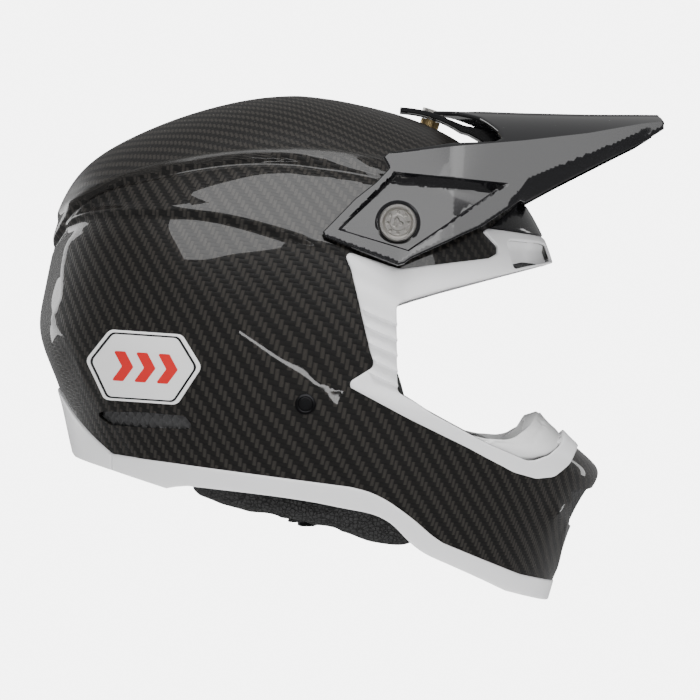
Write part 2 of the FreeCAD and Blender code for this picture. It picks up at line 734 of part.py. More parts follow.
def make_screws():
    """Side screws with dished heads, washers, threaded inserts, and the centre screw."""
    washer_face = dim("boss_outer") + 0.05
    head_face = washer_face + dim("washer_thick") + 0.05
    shank = "-(dims.boss_outer - dims.insert_inner - 6)"
    top = "dims.screw_head_height"
    screw_points = (
        ("0", shank), ("dims.screw_shank_radius", shank), ("dims.screw_shank_radius", "0"),
        ("dims.screw_head_radius - 0.8", "0"), ("dims.screw_head_radius", "0.8"),
        ("dims.screw_head_radius", top + " - 0.8"), ("dims.screw_head_radius - 0.8", top),
        ("dims.screw_dish_radius", top),
        ("dims.screw_dish_radius - 0.6", top + " - dims.screw_dish_depth"),
        ("0", top + " - dims.screw_dish_depth"))
    screw = turned(screw_points, on_right(*pivot, head_face))
    recess = rod("3 mm", "4 mm", on_right(*pivot, head_face + 1.6))
    right_screw = cut(screw, recess)
    subpart("side_screw_right", right_screw)
    subpart("side_screw_left", mirrored(right_screw))
    washer = turned((
        ("dims.screw_hole_radius", "0"), ("dims.washer_radius", "0"),
        ("dims.washer_radius", "dims.washer_thick"),
        ("dims.screw_hole_radius", "dims.washer_thick")), on_right(*pivot, washer_face))
    subpart("screw_washers", both_sides(washer))
    span = "dims.insert_outer - dims.insert_inner"
    insert = turned((
        ("0", "0"), ("dims.insert_radius + 3", "0"), ("dims.insert_radius + 3", "1.5"),
        ("dims.insert_radius", "1.5"), ("dims.insert_radius", span),
        ("dims.screw_hole_radius", span), ("dims.screw_hole_radius", "2"), ("0", "2")),
        on_right(*pivot, dim("insert_inner")))
    subpart("peak_inserts", both_sides(insert))

    centre = turned((
        ("0", "-14"), ("dims.centre_shank_radius", "-14"), ("dims.centre_shank_radius", "0"),
        ("dims.centre_head_radius", "0"), ("dims.centre_head_radius", "dims.centre_head_height"),
        ("2.5", "dims.centre_head_height"), ("2.5", "0.6"), ("0", "0.6")), on_crown(74.4))
    subpart("centre_screw", centre)
    centre_insert = turned((
        ("0", "0"), ("dims.centre_insert_radius + 2.5", "0"), ("dims.centre_insert_radius + 2.5", "1.5"),
        ("dims.centre_insert_radius", "1.5"), ("dims.centre_insert_radius", "13.4"),
        ("dims.centre_hole_radius", "13.4"), ("dims.centre_hole_radius", "2"), ("0", "2")),
        on_crown(56.5))
    subpart("centre_insert", centre_insert)


make_shell()
make_port_trim()
make_brow()
make_rim()
make_chin()
make_exhausts()
make_badges()
make_liners()
make_pads()
make_rivets()
make_strap()
make_peak()
make_screws()
doc.recompute()

# ---------------------------------------------------------------- checks and export
problems = []
for item in doc.Objects:
    if "Invalid" in item.State or "Error" in item.State:
        problems.append("%s (%s): %s" % (item.Label, item.Name, item.State))
for item in subparts:
    if item.Shape.isNull() or not item.Shape.isValid():
        problems.append("%s: bad shape" % item.Label)
if problems:
    raise RuntimeError("; ".join(problems))

os.makedirs("parts", exist_ok=True)
for item in subparts:
    item.Shape.exportStep("parts/%s.step" % item.Label)
    box = item.Shape.BoundBox
    print("%-20s solids %d  x %.1f %.1f  y %.1f %.1f  z %.1f %.1f" % (
        item.Label, len(item.Shape.Solids), box.XMin, box.XMax, box.YMin, box.YMax,
        box.ZMin, box.ZMax))
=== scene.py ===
import json
import math
import bpy
import bmesh
import numpy as np
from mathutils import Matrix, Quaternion, Vector
from mathutils.geometry import delaunay_2d_cdt
from mathutils.kdtree import KDTree


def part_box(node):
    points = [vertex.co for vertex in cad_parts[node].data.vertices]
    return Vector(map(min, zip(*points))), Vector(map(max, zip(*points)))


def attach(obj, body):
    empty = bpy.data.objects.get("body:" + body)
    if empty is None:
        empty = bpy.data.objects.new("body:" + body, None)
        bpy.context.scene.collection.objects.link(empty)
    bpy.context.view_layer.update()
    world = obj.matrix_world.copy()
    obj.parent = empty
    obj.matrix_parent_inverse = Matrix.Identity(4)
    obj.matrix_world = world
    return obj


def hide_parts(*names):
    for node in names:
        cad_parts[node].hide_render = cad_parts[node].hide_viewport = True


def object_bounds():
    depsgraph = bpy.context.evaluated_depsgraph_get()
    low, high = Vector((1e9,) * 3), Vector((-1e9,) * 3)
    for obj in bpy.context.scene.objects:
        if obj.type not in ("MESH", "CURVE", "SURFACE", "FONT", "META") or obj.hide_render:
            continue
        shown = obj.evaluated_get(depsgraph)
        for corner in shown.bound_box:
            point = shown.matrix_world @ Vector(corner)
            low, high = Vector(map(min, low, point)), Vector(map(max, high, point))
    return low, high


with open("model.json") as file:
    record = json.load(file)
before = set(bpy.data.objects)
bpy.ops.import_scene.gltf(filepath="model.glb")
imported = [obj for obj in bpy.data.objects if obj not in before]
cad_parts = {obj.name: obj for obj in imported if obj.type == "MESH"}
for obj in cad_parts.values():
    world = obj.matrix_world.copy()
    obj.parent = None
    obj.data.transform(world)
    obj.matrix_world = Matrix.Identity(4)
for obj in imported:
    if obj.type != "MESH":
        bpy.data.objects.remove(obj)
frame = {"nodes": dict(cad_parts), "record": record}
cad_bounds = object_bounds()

# Motocross helmet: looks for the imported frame.  Outlines are side views (x, z) in
# millimetres in the frame's own axes; meshes are in metres.
MM = 0.001
NODES = frame["nodes"]


def node_box(name):
    """A CAD node's box in millimetres."""
    low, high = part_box(name)
    return np.array(low) / MM, np.array(high) / MM


# ---------------------------------------------------------------- curves
def spline(points, step, closed=False):
    """Even samples of the smooth curve through some points."""
    knots = np.array(points, float)
    count = len(knots)
    ahead = np.roll(knots, -1, axis=0)
    spans = np.linalg.norm(ahead - knots, axis=1)
    system = np.eye(count)
    target = np.zeros((count, 2))
    for i in range(count) if closed else range(1, count - 1):
        before = spans[i - 1]
        after = spans[i]
        system[i, i - 1] = before
        system[i, i] = 2 * (before + after)
        system[i, (i + 1) % count] = after
        target[i] = 6 * ((ahead[i] - knots[i]) / after - (knots[i] - knots[i - 1]) / before)
    bend = np.linalg.solve(system, target)
    bend_ahead = np.roll(bend, -1, axis=0)
    pieces = []
    for i, span in enumerate(spans if closed else spans[:-1]):
        t = np.linspace(0, 1, max(int(span / step), 2), endpoint=False)[:, None] * span
        b = span - t
        piece = (bend[i] * b ** 3 + bend_ahead[i] * t ** 3) / (6 * span)
        piece += (knots[i] / span - bend[i] * span / 6) * b
        piece += (ahead[i] / span - bend_ahead[i] * span / 6) * t
        pieces.append(piece)
    if not closed:
        pieces.append(knots[-1:])
    return np.vstack(pieces)


def resample(line, step, closed=False):
    """The same polyline with evenly spaced points, its corners kept."""
    points = np.vstack([line, line[:1]]) if closed else np.array(line)
    out = []
    for start, end in zip(points[:-1], points[1:]):
        parts = max(int(round(np.linalg.norm(end - start) / step)), 1)
        t = np.linspace(0, 1, parts, endpoint=False)[:, None]
        out.append(start + (end - start) * t)
    if not closed:
        out.append(points[-1:])
    return np.vstack(out)


def rounded(corners, step=1.2):
    """A closed outline from (x, z, corner radius) points, its corners turned to arcs."""
    points = np.array([corner[:2] for corner in corners], float)
    count = len(points)
    out = []
    for i, corner in enumerate(corners):
        here = points[i]
        back = points[i - 1] - here
        ahead = points[(i + 1) % count] - here
        back_len = np.linalg.norm(back)
        ahead_len = np.linalg.norm(ahead)
        back = back / back_len
        ahead = ahead / ahead_len
        half = math.acos(np.clip(back @ ahead, -1, 1)) / 2
        trim = min(corner[2] / max(math.tan(half), 1e-6), 0.48 * back_len, 0.48 * ahead_len)
        if corner[2] <= 0 or half > 1.55:
            out.append(here[None])
            continue
        radius = trim * math.tan(half)
        centre = here + (back + ahead) / np.linalg.norm(back + ahead) * radius / math.sin(half)
        start = here + back * trim - centre
        end = here + ahead * trim - centre
        turn = math.atan2(start[0] * end[1] - start[1] * end[0], start @ end)
        parts = max(int(abs(turn) * radius / step), 4)
        angles = np.linspace(0, turn, parts + 1)
        cos = np.cos(angles)
        sin = np.sin(angles)
        out.append(centre + np.stack([start[0] * cos - start[1] * sin,
                                      start[0] * sin + start[1] * cos], 1))
    return resample(np.vstack(out), step, closed=True)


def inside(points, polygon):
    """Which points lie in a polygon."""
    hit = np.zeros(len(points), bool)
    ends = np.roll(polygon, -1, axis=0)
    for (ax, az), (bx, bz) in zip(polygon, ends):
        if az == bz:
            continue
        spans = (points[:, 1] > az) != (points[:, 1] > bz)
        cross = (bx - ax) * (points[:, 1] - az) / (bz - az) + ax
        hit ^= spans & (points[:, 0] < cross)
    return hit


def line_gap(points, line, closed=False):
    """Signed distance of points from a polyline: positive on its left."""
    path = np.vstack([line, line[:1]]) if closed else line
    best = np.full(len(points), 1e9)
    sign = np.ones(len(points))
    for start, end in zip(path[:-1], path[1:]):
        along = end - start
        length2 = max(along @ along, 1e-12)
        t = np.clip(((points - start) @ along) / length2, 0, 1)
        away = points - start - t[:, None] * along
        gap = np.hypot(away[:, 0], away[:, 1])
        nearer = gap < best
        best = np.where(nearer, gap, best)
        side = along[0] * away[:, 1] - along[1] * away[:, 0]
        sign = np.where(nearer, np.where(side >= 0, 1.0, -1.0), sign)
    return best * sign


def beside(line, distances):
    """Copies of a line at several distances to its left."""
    before = np.roll(line, 1, axis=0)
    after = np.roll(line, -1, axis=0)
    before[0] = line[0]
    after[-1] = line[-1]
    along = after - before
    along /= np.maximum(np.linalg.norm(along, axis=1), 1e-9)[:, None]
    left = np.stack([-along[:, 1], along[:, 0]], 1)
    return [line + left * distance for distance in distances]


def smooth(low, high, value):
    """Smooth step from 0 at low to 1 at high."""
    t = np.clip((value - low) / (high - low), 0, 1)
    return t * t * (3 - 2 * t)


# ---------------------------------------------------------------- the egg form
SIDE = (
    (162, 32), (150, 60), (131, 86), (105, 108), (69, 124), (12, 133), (-41, 126),
    (-96, 106), (-125, 86), (-143, 49), (-151, 13), (-153.5, -6), (-142, -43),
    (-132, -84), (-103, -144), (-33, -197), (55, -213), (111, -213), (143, -200),
    (157, -182), (162, -167), (170, -143), (185, -111), (191, -99), (178, -81),
    (159, -52), (163, -27), (166, 4),
)
POLE = np.array((7.0, -33.5))
BULGE = 2.2
HALF_WIDTH = 125.0


class Egg:
    """The shell's form: a side outline, drawn in towards a pole as it goes outwards."""

    def __init__(self):
        curve = spline(SIDE, 0.5, closed=True) - POLE
        angle = np.arctan2(curve[:, 1], curve[:, 0])
        order = np.argsort(angle)
        self.angle = angle[order]
        self.reach = np.hypot(curve[:, 0], curve[:, 1])[order]
        self.width = HALF_WIDTH

    def radius(self, angle):
        return np.interp(angle, self.angle, self.reach, period=2 * math.pi)

    def unwrap(self, points):
        """Side-view points to the flattened half, where distances are nearly true."""
        offset = np.asarray(points, float) - POLE
        angle = np.arctan2(offset[:, 1], offset[:, 0])
        share = np.hypot(offset[:, 0], offset[:, 1]) / self.radius(angle)
        turn = np.arcsin(np.minimum(share, 1) ** (BULGE / 2)) / (math.pi / 2)
        turn = np.where(share > 1, 1 + 2 * (share - 1), turn)
        return POLE + np.stack([np.cos(angle), np.sin(angle)], 1) * (turn * self.radius(angle))[:, None]

    def wrap(self, flat):
        """Flattened points to x, distance from the middle plane, z."""
        offset = flat - POLE
        angle = np.arctan2(offset[:, 1], offset[:, 0])
        radius = self.radius(angle)
        turn = np.clip(np.hypot(offset[:, 0], offset[:, 1]) / radius, 0, 1) * math.pi / 2
        share = np.sin(turn) ** (2 / BULGE)
        away = np.cos(turn).clip(0) ** (2 / BULGE) * self.width
        away[turn > math.pi / 2 - 1e-6] = 0
        x = POLE[0] + np.cos(angle) * radius * share
        z = POLE[1] + np.sin(angle) * radius * share
        return np.stack([x, away, z], 1)

    def keep_off(self, flat, gap):
        """Flattened points kept a gap away from the middle plane."""
        offset = flat - POLE
        angle = np.arctan2(offset[:, 1], offset[:, 0])
        limit = math.acos((gap / self.width) ** (BULGE / 2)) / (math.pi / 2)
        share = np.hypot(offset[:, 0], offset[:, 1]) / self.radius(angle)
        return POLE + offset * np.minimum(1, limit / np.maximum(share, 1e-6))[:, None]

    def level(self, x, y, z):
        dx = x - POLE[0]
        dz = z - POLE[1]
        share = np.hypot(dx, dz) / self.radius(np.arctan2(dz, dx))
        return share ** BULGE + (np.abs(y) / self.width) ** BULGE

    def normal(self, places):
        """Outward unit normals at places on the form."""
        x, y, z = places.T
        e = 0.8
        gx = (self.level(x + e, y, z) - self.level(x - e, y, z)) / (2 * e)
        gz = (self.level(x, y, z + e) - self.level(x, y, z - e)) / (2 * e)
        gy = BULGE * (y / self.width) ** (BULGE - 1) / self.width
        gy[y <= 0] = 0
        n = np.stack([gx, gy, gz], 1)
        return n / np.maximum(np.linalg.norm(n, axis=1), 1e-9)[:, None]

    def rim(self, step=1.5):
        """The form's outline in the flattened plane."""
        points = np.stack([np.cos(self.angle), np.sin(self.angle)], 1) * self.reach[:, None]
        gaps = np.linalg.norm(np.diff(points, axis=0), axis=1)
        travel = np.concatenate([[0], np.cumsum(gaps)])
        marks = np.arange(0, travel[-1], step)
        return POLE + np.stack([np.interp(marks, travel, points[:, k]) for k in (0, 1)], 1)


EGG = Egg()


# ---------------------------------------------------------------- mesh building
def new_object(name, vertices, faces, sharp=35):
    """A smooth-shaded mesh object from millimetre vertices."""
    mesh = bpy.data.meshes.new(name)
    mesh.from_pydata((np.asarray(vertices) * MM).tolist(), [], [list(map(int, f)) for f in faces])
    mesh.validate()
    mesh.polygons.foreach_set("use_smooth", [True] * len(mesh.polygons))
    if sharp:
        mesh.set_sharp_from_angle(angle=math.radians(sharp))
    piece = bpy.data.objects.new(name, mesh)
    bpy.context.scene.collection.objects.link(piece)
    return piece


def triangulate(outline, holes, lines, spacing, egg, rings=()):
    """Triangles inside an outline and the form's rim, outside the holes, with all the
    lines kept as edges.  Everything is in the flattened plane."""
    rim = egg.rim()
    loops = [resample(outline, spacing, True), rim]
    loops += [resample(hole, spacing, True) for hole in holes]
    for distance in rings:
        for loop in [loops[0], *loops[2:]]:
            sign = 1 if loop is loops[0] else -1
            shifted = shift_loop(loop, distance * sign)
            loops.append(shifted)
    strands = [resample(line, spacing) for line in lines]
    strands = [strand[inside(strand, loops[0]) & inside(strand, rim)] for strand in strands]
    strands = [strand for strand in strands if len(strand) > 1]
    fixed = np.vstack(loops + strands)
    low = loops[0].min(0)
    high = loops[0].max(0)
    low = np.maximum(low, rim.min(0))
    high = np.minimum(high, rim.max(0))
    rows = np.arange(low[1], high[1], spacing * 0.87)
    grid = []
    for index, row in enumerate(rows):
        xs = np.arange(low[0] + (index % 2) * spacing / 2, high[0], spacing)
        grid.append(np.stack([xs, np.full(len(xs), row)], 1))
    grid = np.vstack(grid)
    grid = grid[inside(grid, loops[0]) & inside(grid, rim)]
    tree = KDTree(len(fixed))
    for index, (a, b) in enumerate(fixed):
        tree.insert((a, b, 0), index)
    tree.balance()
    room = np.array([tree.find((a, b, 0))[2] for a, b in grid]) if len(grid) else np.zeros(0)
    grid = grid[room > spacing * 0.45]
    edges = []
    start = 0
    for loop in loops:
        count = len(loop)
        edges += [(start + i, start + (i + 1) % count) for i in range(count)]
        start += count
    for strand in strands:
        edges += [(start + i, start + i + 1) for i in range(len(strand) - 1)
                  if np.linalg.norm(strand[i + 1] - strand[i]) < 2 * spacing]
        start += len(strand)
    every = np.vstack([fixed, grid])
    result = delaunay_2d_cdt([Vector((float(a), float(b))) for a, b in every], edges, [], 0, 1e-5)
    flat = np.array([(p.x, p.y) for p in result[0]])
    faces = np.array([f for f in result[2] if len(f) == 3])
    middle = flat[faces].mean(1)
    keep = inside(middle, loops[0]) & inside(middle, rim)
    for hole in holes:
        keep &= ~inside(middle, hole)
    faces = faces[keep]
    used = np.unique(faces)
    index = np.full(len(flat), -1)
    index[used] = np.arange(len(used))
    flat = flat[used]
    faces = index[faces]
    a, b, c = (flat[faces[:, k]] for k in range(3))
    area = (b[:, 0] - a[:, 0]) * (c[:, 1] - a[:, 1]) - (b[:, 1] - a[:, 1]) * (c[:, 0] - a[:, 0])
    faces = np.where(area[:, None] < 0, faces[:, ::-1], faces)
    return flat, faces


def shift_loop(loop, distance):
    """A closed loop moved inwards by a distance, by each point's own normal."""
    before = np.roll(loop, 1, axis=0)
    after = np.roll(loop, -1, axis=0)
    along = after - before
    along /= np.maximum(np.linalg.norm(along, axis=1), 1e-9)[:, None]
    area = np.sum(before[:, 0] * loop[:, 1] - before[:, 1] * loop[:, 0])
    turn = 1 if area > 0 else -1
    return loop + np.stack([-along[:, 1], along[:, 0]], 1) * distance * turn


BODY_TURN = math.radians(10)
CROWN_TURN = math.radians(-22)
CROWN_FAN = 0.0012


def weave_place(flat):
    """Cloth coordinates: one turn on the body, another that fans out on the crown, and the
    crown's share as the third value."""
    crown = smooth(-0.4, 0.4, line_gap(flat, FLAT["crown"]))
    fanned = flat.copy()
    fanned[:, 1] += CROWN_FAN * (flat[:, 0] + 20) ** 2
    out = np.zeros((len(flat), 3))
    for source, turn, share in ((flat, BODY_TURN, 1 - crown), (fanned, CROWN_TURN, crown)):
        out[:, 0] += share * (source[:, 0] * math.cos(turn) - source[:, 1] * math.sin(turn))
        out[:, 1] += share * (source[:, 0] * math.sin(turn) + source[:, 1] * math.cos(turn))
    out[:, 2] = crown
    return out


def spread(setting, flat, places):
    """A setting at each point, whether it is given as a number or as a function."""
    return setting(flat, places) if callable(setting) else np.full(len(flat), float(setting))


def weld(piece, distance, seam_only=False):
    """Join doubled points, or only those on the middle plane, and turn all faces outwards."""
    model = bmesh.new()
    model.from_mesh(piece.data)
    joined = [v for v in model.verts if not seam_only or abs(v.co.y) < 1e-7]
    bmesh.ops.remove_doubles(model, verts=joined, dist=distance)
    bmesh.ops.recalc_face_normals(model, faces=model.faces)
    model.to_mesh(piece.data)
    model.free()


def skin(name, outline, height, holes=(), vents=(), strands=(), spacing=2.0, depth=2.0, edge=0.0,
         egg=EGG, sharp=35, bridge=9.0):
    """A mirrored piece of a form's skin.

    The outline, holes and vents are side views in millimetres, and strands are lines on the
    flattened form that the mesh follows.  height is how far the face stands proud, depth how
    thick the skin is, edge how far its border is rounded, bridge how far the vents stay from
    the middle plane.
    """
    outline = resample(outline, 0.8, True)
    flat_outline = egg.unwrap(outline) if egg is EGG else outline
    flat_holes = [egg.unwrap(resample(hole, 0.8, True)) for hole in holes]
    flat_holes += [egg.keep_off(egg.unwrap(resample(vent, 0.8, True)), bridge) for vent in vents]
    rings = [edge * share for share in (0.12, 0.4, 1.0)] if edge else ()
    flat, faces = triangulate(flat_outline, flat_holes, strands, spacing, egg, rings)
    egg.flat = flat
    places = egg.wrap(flat)
    normals = egg.normal(places)
    on_rim = places[:, 1] <= 1e-6
    normals[on_rim, 1] = 0
    rise = spread(height, flat, places)
    back = places + normals * (rise - spread(depth, flat, places))[:, None]
    if edge:
        gap = np.abs(line_gap(flat, flat_outline, True))
        for hole in flat_holes:
            gap = np.minimum(gap, np.abs(line_gap(flat, hole, True)))
        inner = 1 - np.clip(gap / edge, 0, 1)
        rise = rise - edge * (1 - np.sqrt(1 - inner ** 2))
    front = places + normals * rise[:, None]
    back[on_rim, 1] = 0
    back[:, 1] = np.maximum(back[:, 1], 0)
    count = len(front)
    walls = dict.fromkeys(pair for a, b, c in faces for pair in ((a, b), (b, c), (c, a)))
    border = [(a, b) for a, b in walls if (b, a) not in walls and not (on_rim[a] and on_rim[b])]
    solid = [tuple(f[::-1]) for f in faces]
    solid += [(a + count, b + count, c + count) for a, b, c in faces]
    solid += [(a, b, b + count, a + count) for a, b in border]
    solid += [tuple(i + 2 * count for i in f[::-1]) for f in solid]
    half = np.vstack([front, back])
    piece = new_object(name, np.vstack([half, half * (1, -1, 1)]), solid, sharp=0)
    attribute = piece.data.attributes.new("weave", "FLOAT_VECTOR", "POINT")
    values = weave_place(np.vstack([flat] * 4)).astype(np.float32)
    attribute.data.foreach_set("vector", values.ravel())
    weld(piece, 2e-6, seam_only=True)
    piece.data.polygons.foreach_set("use_smooth", [True] * len(piece.data.polygons))
    piece.data.set_sharp_from_angle(angle=math.radians(sharp))
    return piece


# ---------------------------------------------------------------- materials
def shader(name, roughness=0.5, colour=(0.5, 0.5, 0.5), metallic=0.0, coat=0.0, coat_rough=0.03):
    """A new node material; returns it, a node adder and a linker to its surface."""
    material = bpy.data.materials.new(name)
    material.use_nodes = True
    tree = material.node_tree
    surface = tree.nodes["Principled BSDF"].inputs
    surface["Base Color"].default_value = (*colour, 1)
    surface["Roughness"].default_value = roughness
    surface["Metallic"].default_value = metallic
    surface["Coat Weight"].default_value = coat
    surface["Coat Roughness"].default_value = coat_rough

    def add(kind, **settings):
        """A node; a setting named in_0 or in_Scale is an input, a value or another's output."""
        node = tree.nodes.new(kind)
        for key, setting in settings.items():
            if not key.startswith("in_"):
                setattr(node, key, setting)
                continue
            place = key[3:]
            socket = node.inputs[int(place) if place.isdigit() else place]
            if isinstance(setting, bpy.types.NodeSocket):
                tree.links.new(setting, socket)
            else:
                socket.default_value = setting
        return node

    def link(output, target):
        tree.links.new(output, surface[target])

    return material, add, link


def bump_by(add, link, height, strength, distance, invert=False):
    """Surface bumps that follow a value."""
    bump = add("ShaderNodeBump", in_Strength=strength, in_Distance=distance, in_Height=height,
               invert=invert)
    link(bump.outputs[0], "Normal")


def tint_by(add, link, value, colour, low, high):
    """Base colour between two strengths of a colour, led by a value."""
    tint = add("ShaderNodeMix", data_type="RGBA", in_0=value,
               in_6=(*[c * low for c in colour], 1),
               in_7=(*[min(c * high, 1) for c in colour], 1))
    link(tint.outputs[2], "Base Color")


TOW = 1.75
# Colour of a tow with the light full on it, and a resin colour that also stands for weft tows and tow
# edges in painted shade.
LIT_TOW_COLOUR = (0.046, 0.041, 0.036)
RESIN_AND_SHADE_COLOUR = (0.0009, 0.0009, 0.001)


def carbon(name, lift, coat_rough=0.02, crown_rough=0.42):
    """Twill carbon: two-over, two-under tows with rounded backs and fine fibres. Warp tows are painted
    lighter than weft tows as a painted reflection, and each tow is painted darker towards its edges as
    painted shade.
    """
    material, add, link = shader(name, roughness=0.42, coat=1.0, coat_rough=coat_rough)
    material.node_tree.nodes["Principled BSDF"].inputs["Specular IOR Level"].default_value = 0.18

    def solve(operation, a, b=0.0):
        return add("ShaderNodeMath", operation=operation, in_0=a, in_1=b).outputs[0]

    def choose(share, low, high):
        return add("ShaderNodeMix", data_type="FLOAT", in_0=share, in_2=low, in_3=high).outputs[0]

    place = add("ShaderNodeAttribute", attribute_name="weave").outputs["Vector"]
    crown = add("ShaderNodeSeparateXYZ", in_0=place).outputs[2]
    satin = add("ShaderNodeMapRange", in_Value=crown, in_3=coat_rough, in_4=crown_rough)
    link(satin.outputs[0], "Coat Roughness")
    scaled = add("ShaderNodeMapping", in_Vector=place, in_Scale=(1 / TOW, 1 / TOW, 0)).outputs[0]
    bend = add("ShaderNodeTexNoise", in_Vector=place, in_Scale=0.03, in_Detail=1.0).outputs["Color"]
    cells = add("ShaderNodeVectorMath", operation="MULTIPLY_ADD", in_0=bend, in_1=(0.8, 0.8, 0),
                in_2=scaled).outputs[0]
    split = add("ShaderNodeSeparateXYZ", in_0=cells)
    u = split.outputs[0]
    v = split.outputs[1]
    cell = solve("ADD", solve("FLOOR", u), solve("FLOOR", v))
    warp = solve("LESS_THAN", solve("FLOORED_MODULO", cell, 4.0), 2.0)
    across_u = solve("ABSOLUTE", solve("SUBTRACT", solve("FRACT", u), 0.5))
    across_v = solve("ABSOLUTE", solve("SUBTRACT", solve("FRACT", v), 0.5))
    across = choose(warp, across_v, across_u)
    back = solve("SUBTRACT", 1.0, solve("POWER", solve("MULTIPLY", across, 2.0), 3.0))
    fibres = []
    for stretch in ((9.0, 0.7, 1), (0.7, 9.0, 1)):
        drawn = add("ShaderNodeVectorMath", operation="MULTIPLY", in_0=cells, in_1=stretch).outputs[0]
        fibres.append(add("ShaderNodeTexNoise", in_Vector=drawn, in_Scale=1.6, in_Detail=2.0).outputs[0])
    fibre = choose(warp, fibres[1], fibres[0])
    # Painted reflection and shade: warp tows lighter than weft tows, and each tow darker towards its
    # edges, as the light falls on them.
    painted_tow_sheen = solve("MULTIPLY", solve("ADD", solve("MULTIPLY", warp, 0.82), 0.18), back)
    painted_tow_sheen = solve("MULTIPLY", painted_tow_sheen, solve("ADD", solve("MULTIPLY", fibre, 0.9), 0.45))
    colour = add("ShaderNodeMix", data_type="RGBA", in_0=painted_tow_sheen, in_6=(*RESIN_AND_SHADE_COLOUR, 1),
                 in_7=(*[c * lift for c in LIT_TOW_COLOUR], 1))
    link(colour.outputs[2], "Base Color")
    bump_by(add, link, back, 0.35, 0.0004)
    return material


def plastic(name, colour, roughness, coat=0.0, grain=0.05, scale=900.0, mottle=0.0):
    """Moulded plastic: a fine grain in bump and roughness, and faint colour mottling."""
    material, add, link = shader(name, roughness, colour, coat=coat)
    place = add("ShaderNodeTexCoord").outputs["Object"]
    fine = add("ShaderNodeTexNoise", in_Vector=place, in_Scale=scale, in_Detail=3.0).outputs[0]
    broad = add("ShaderNodeTexNoise", in_Vector=place, in_Scale=18.0, in_Detail=3.0).outputs[0]
    rough = add("ShaderNodeMapRange", in_Value=broad, in_3=max(roughness - 0.06, 0.02),
                in_4=roughness + 0.08)
    link(rough.outputs[0], "Roughness")
    tint_by(add, link, broad, colour, 1 - mottle, 1 + mottle)
    bump_by(add, link, fine, grain, 0.0002)
    return material


def foam(name, colour):
    """Expanded foam: packed beads, the gaps between them painted darker as painted shade and the bead tops
    lighter.
    """
    material, add, link = shader(name, 0.85, colour)
    place = add("ShaderNodeTexCoord").outputs["Object"]
    beads = add("ShaderNodeTexVoronoi", in_Vector=place, in_Scale=330.0).outputs["Distance"]
    # Painted shade: darker in the gaps between beads, lighter on the bead tops, following the bump's
    # height.
    tint_by(add, link, beads, colour, 1.5, 0.4)
    bump_by(add, link, beads, 0.5, 0.0006, invert=True)
    return material


def leather(name, colour, scale=420.0):
    """Grained synthetic leather: pebbles with creases between them, the creases painted dark as painted
    shade and the pebble tops lighter.
    """
    material, add, link = shader(name, 0.55, colour)
    place = add("ShaderNodeTexCoord").outputs["Object"]
    cells = add("ShaderNodeTexVoronoi", in_Vector=place, in_Scale=scale, feature="DISTANCE_TO_EDGE")
    ridge = add("ShaderNodeMapRange", in_Value=cells.outputs["Distance"], in_2=0.16).outputs[0]
    # Painted shade: darker in the creases, lighter on the pebble tops, following the bump's height.
    tint_by(add, link, ridge, colour, 0.3, 1.3)
    bump_by(add, link, ridge, 0.8, 0.0006)
    return material


def cloth(name, colour, pitch=1100.0):
    """Knitted lining: crossed waves with a soft sheen, the knit's hollows painted darker as painted shade
    and its crowns lighter.
    """
    material, add, link = shader(name, 0.9, colour)
    material.node_tree.nodes["Principled BSDF"].inputs["Sheen Weight"].default_value = 0.35
    place = add("ShaderNodeTexCoord").outputs["Object"]
    waves = [add("ShaderNodeTexWave", in_Vector=place, in_Scale=pitch, in_Distortion=1.5,
                 bands_direction=direction).outputs[1] for direction in ("X", "Z")]
    knit = add("ShaderNodeMath", operation="MULTIPLY", in_0=waves[0], in_1=waves[1]).outputs[0]
    # Painted shade: darker in the knit's hollows, lighter on its crowns, following the bump's height.
    tint_by(add, link, knit, colour, 0.5, 1.8)
    bump_by(add, link, knit, 0.6, 0.0004)
    return material


def metal(name, colour, roughness=0.3):
    """Satin metal with a fine cast grain."""
    material, add, link = shader(name, roughness, colour, metallic=1.0)
    place = add("ShaderNodeTexCoord").outputs["Object"]
    grain = add("ShaderNodeTexNoise", in_Vector=place, in_Scale=1400.0, in_Detail=3.0).outputs[0]
    rough = add("ShaderNodeMapRange", in_Value=grain, in_3=roughness - 0.08, in_4=roughness + 0.14)
    link(rough.outputs[0], "Roughness")
    bump_by(add, link, grain, 0.15, 0.0002)
    return material


CARBON = carbon("carbon_clearcoat", lift=0.58)
WHITE = plastic("white_satin", (0.80, 0.80, 0.81), 0.34, coat=0.15, mottle=0.01)
WHITE_GLOSS = plastic("white_gloss", (0.82, 0.82, 0.82), 0.16, coat=0.6, grain=0.02, mottle=0.01)
BLACK_GLOSS = plastic("black_gloss", (0.006, 0.006, 0.007), 0.12, coat=0.6, grain=0.0, mottle=0.1)
BLACK_MATTE = plastic("black_matte", (0.012, 0.012, 0.012), 0.6, grain=0.3, mottle=0.2)
FOAM = foam("liner_foam", (0.035, 0.035, 0.037))
FOAM_GREY = foam("liner_foam_grey", (0.09, 0.09, 0.095))
LINING = cloth("lining_knit", (0.02, 0.02, 0.022))
GRAIN = leather("grained_black", (0.02, 0.02, 0.02))
RUBBER = plastic("black_rubber", (0.02, 0.02, 0.02), 0.75, grain=0.5, scale=500.0, mottle=0.2)
SILVER = metal("screw_silver", (0.62, 0.60, 0.57), 0.32)
STEEL = metal("zinc_steel", (0.6, 0.6, 0.61), 0.28)
DARK_METAL = metal("dark_metal", (0.03, 0.03, 0.032), 0.35)
BRASS = metal("turned_brass", (0.75, 0.55, 0.27), 0.3)

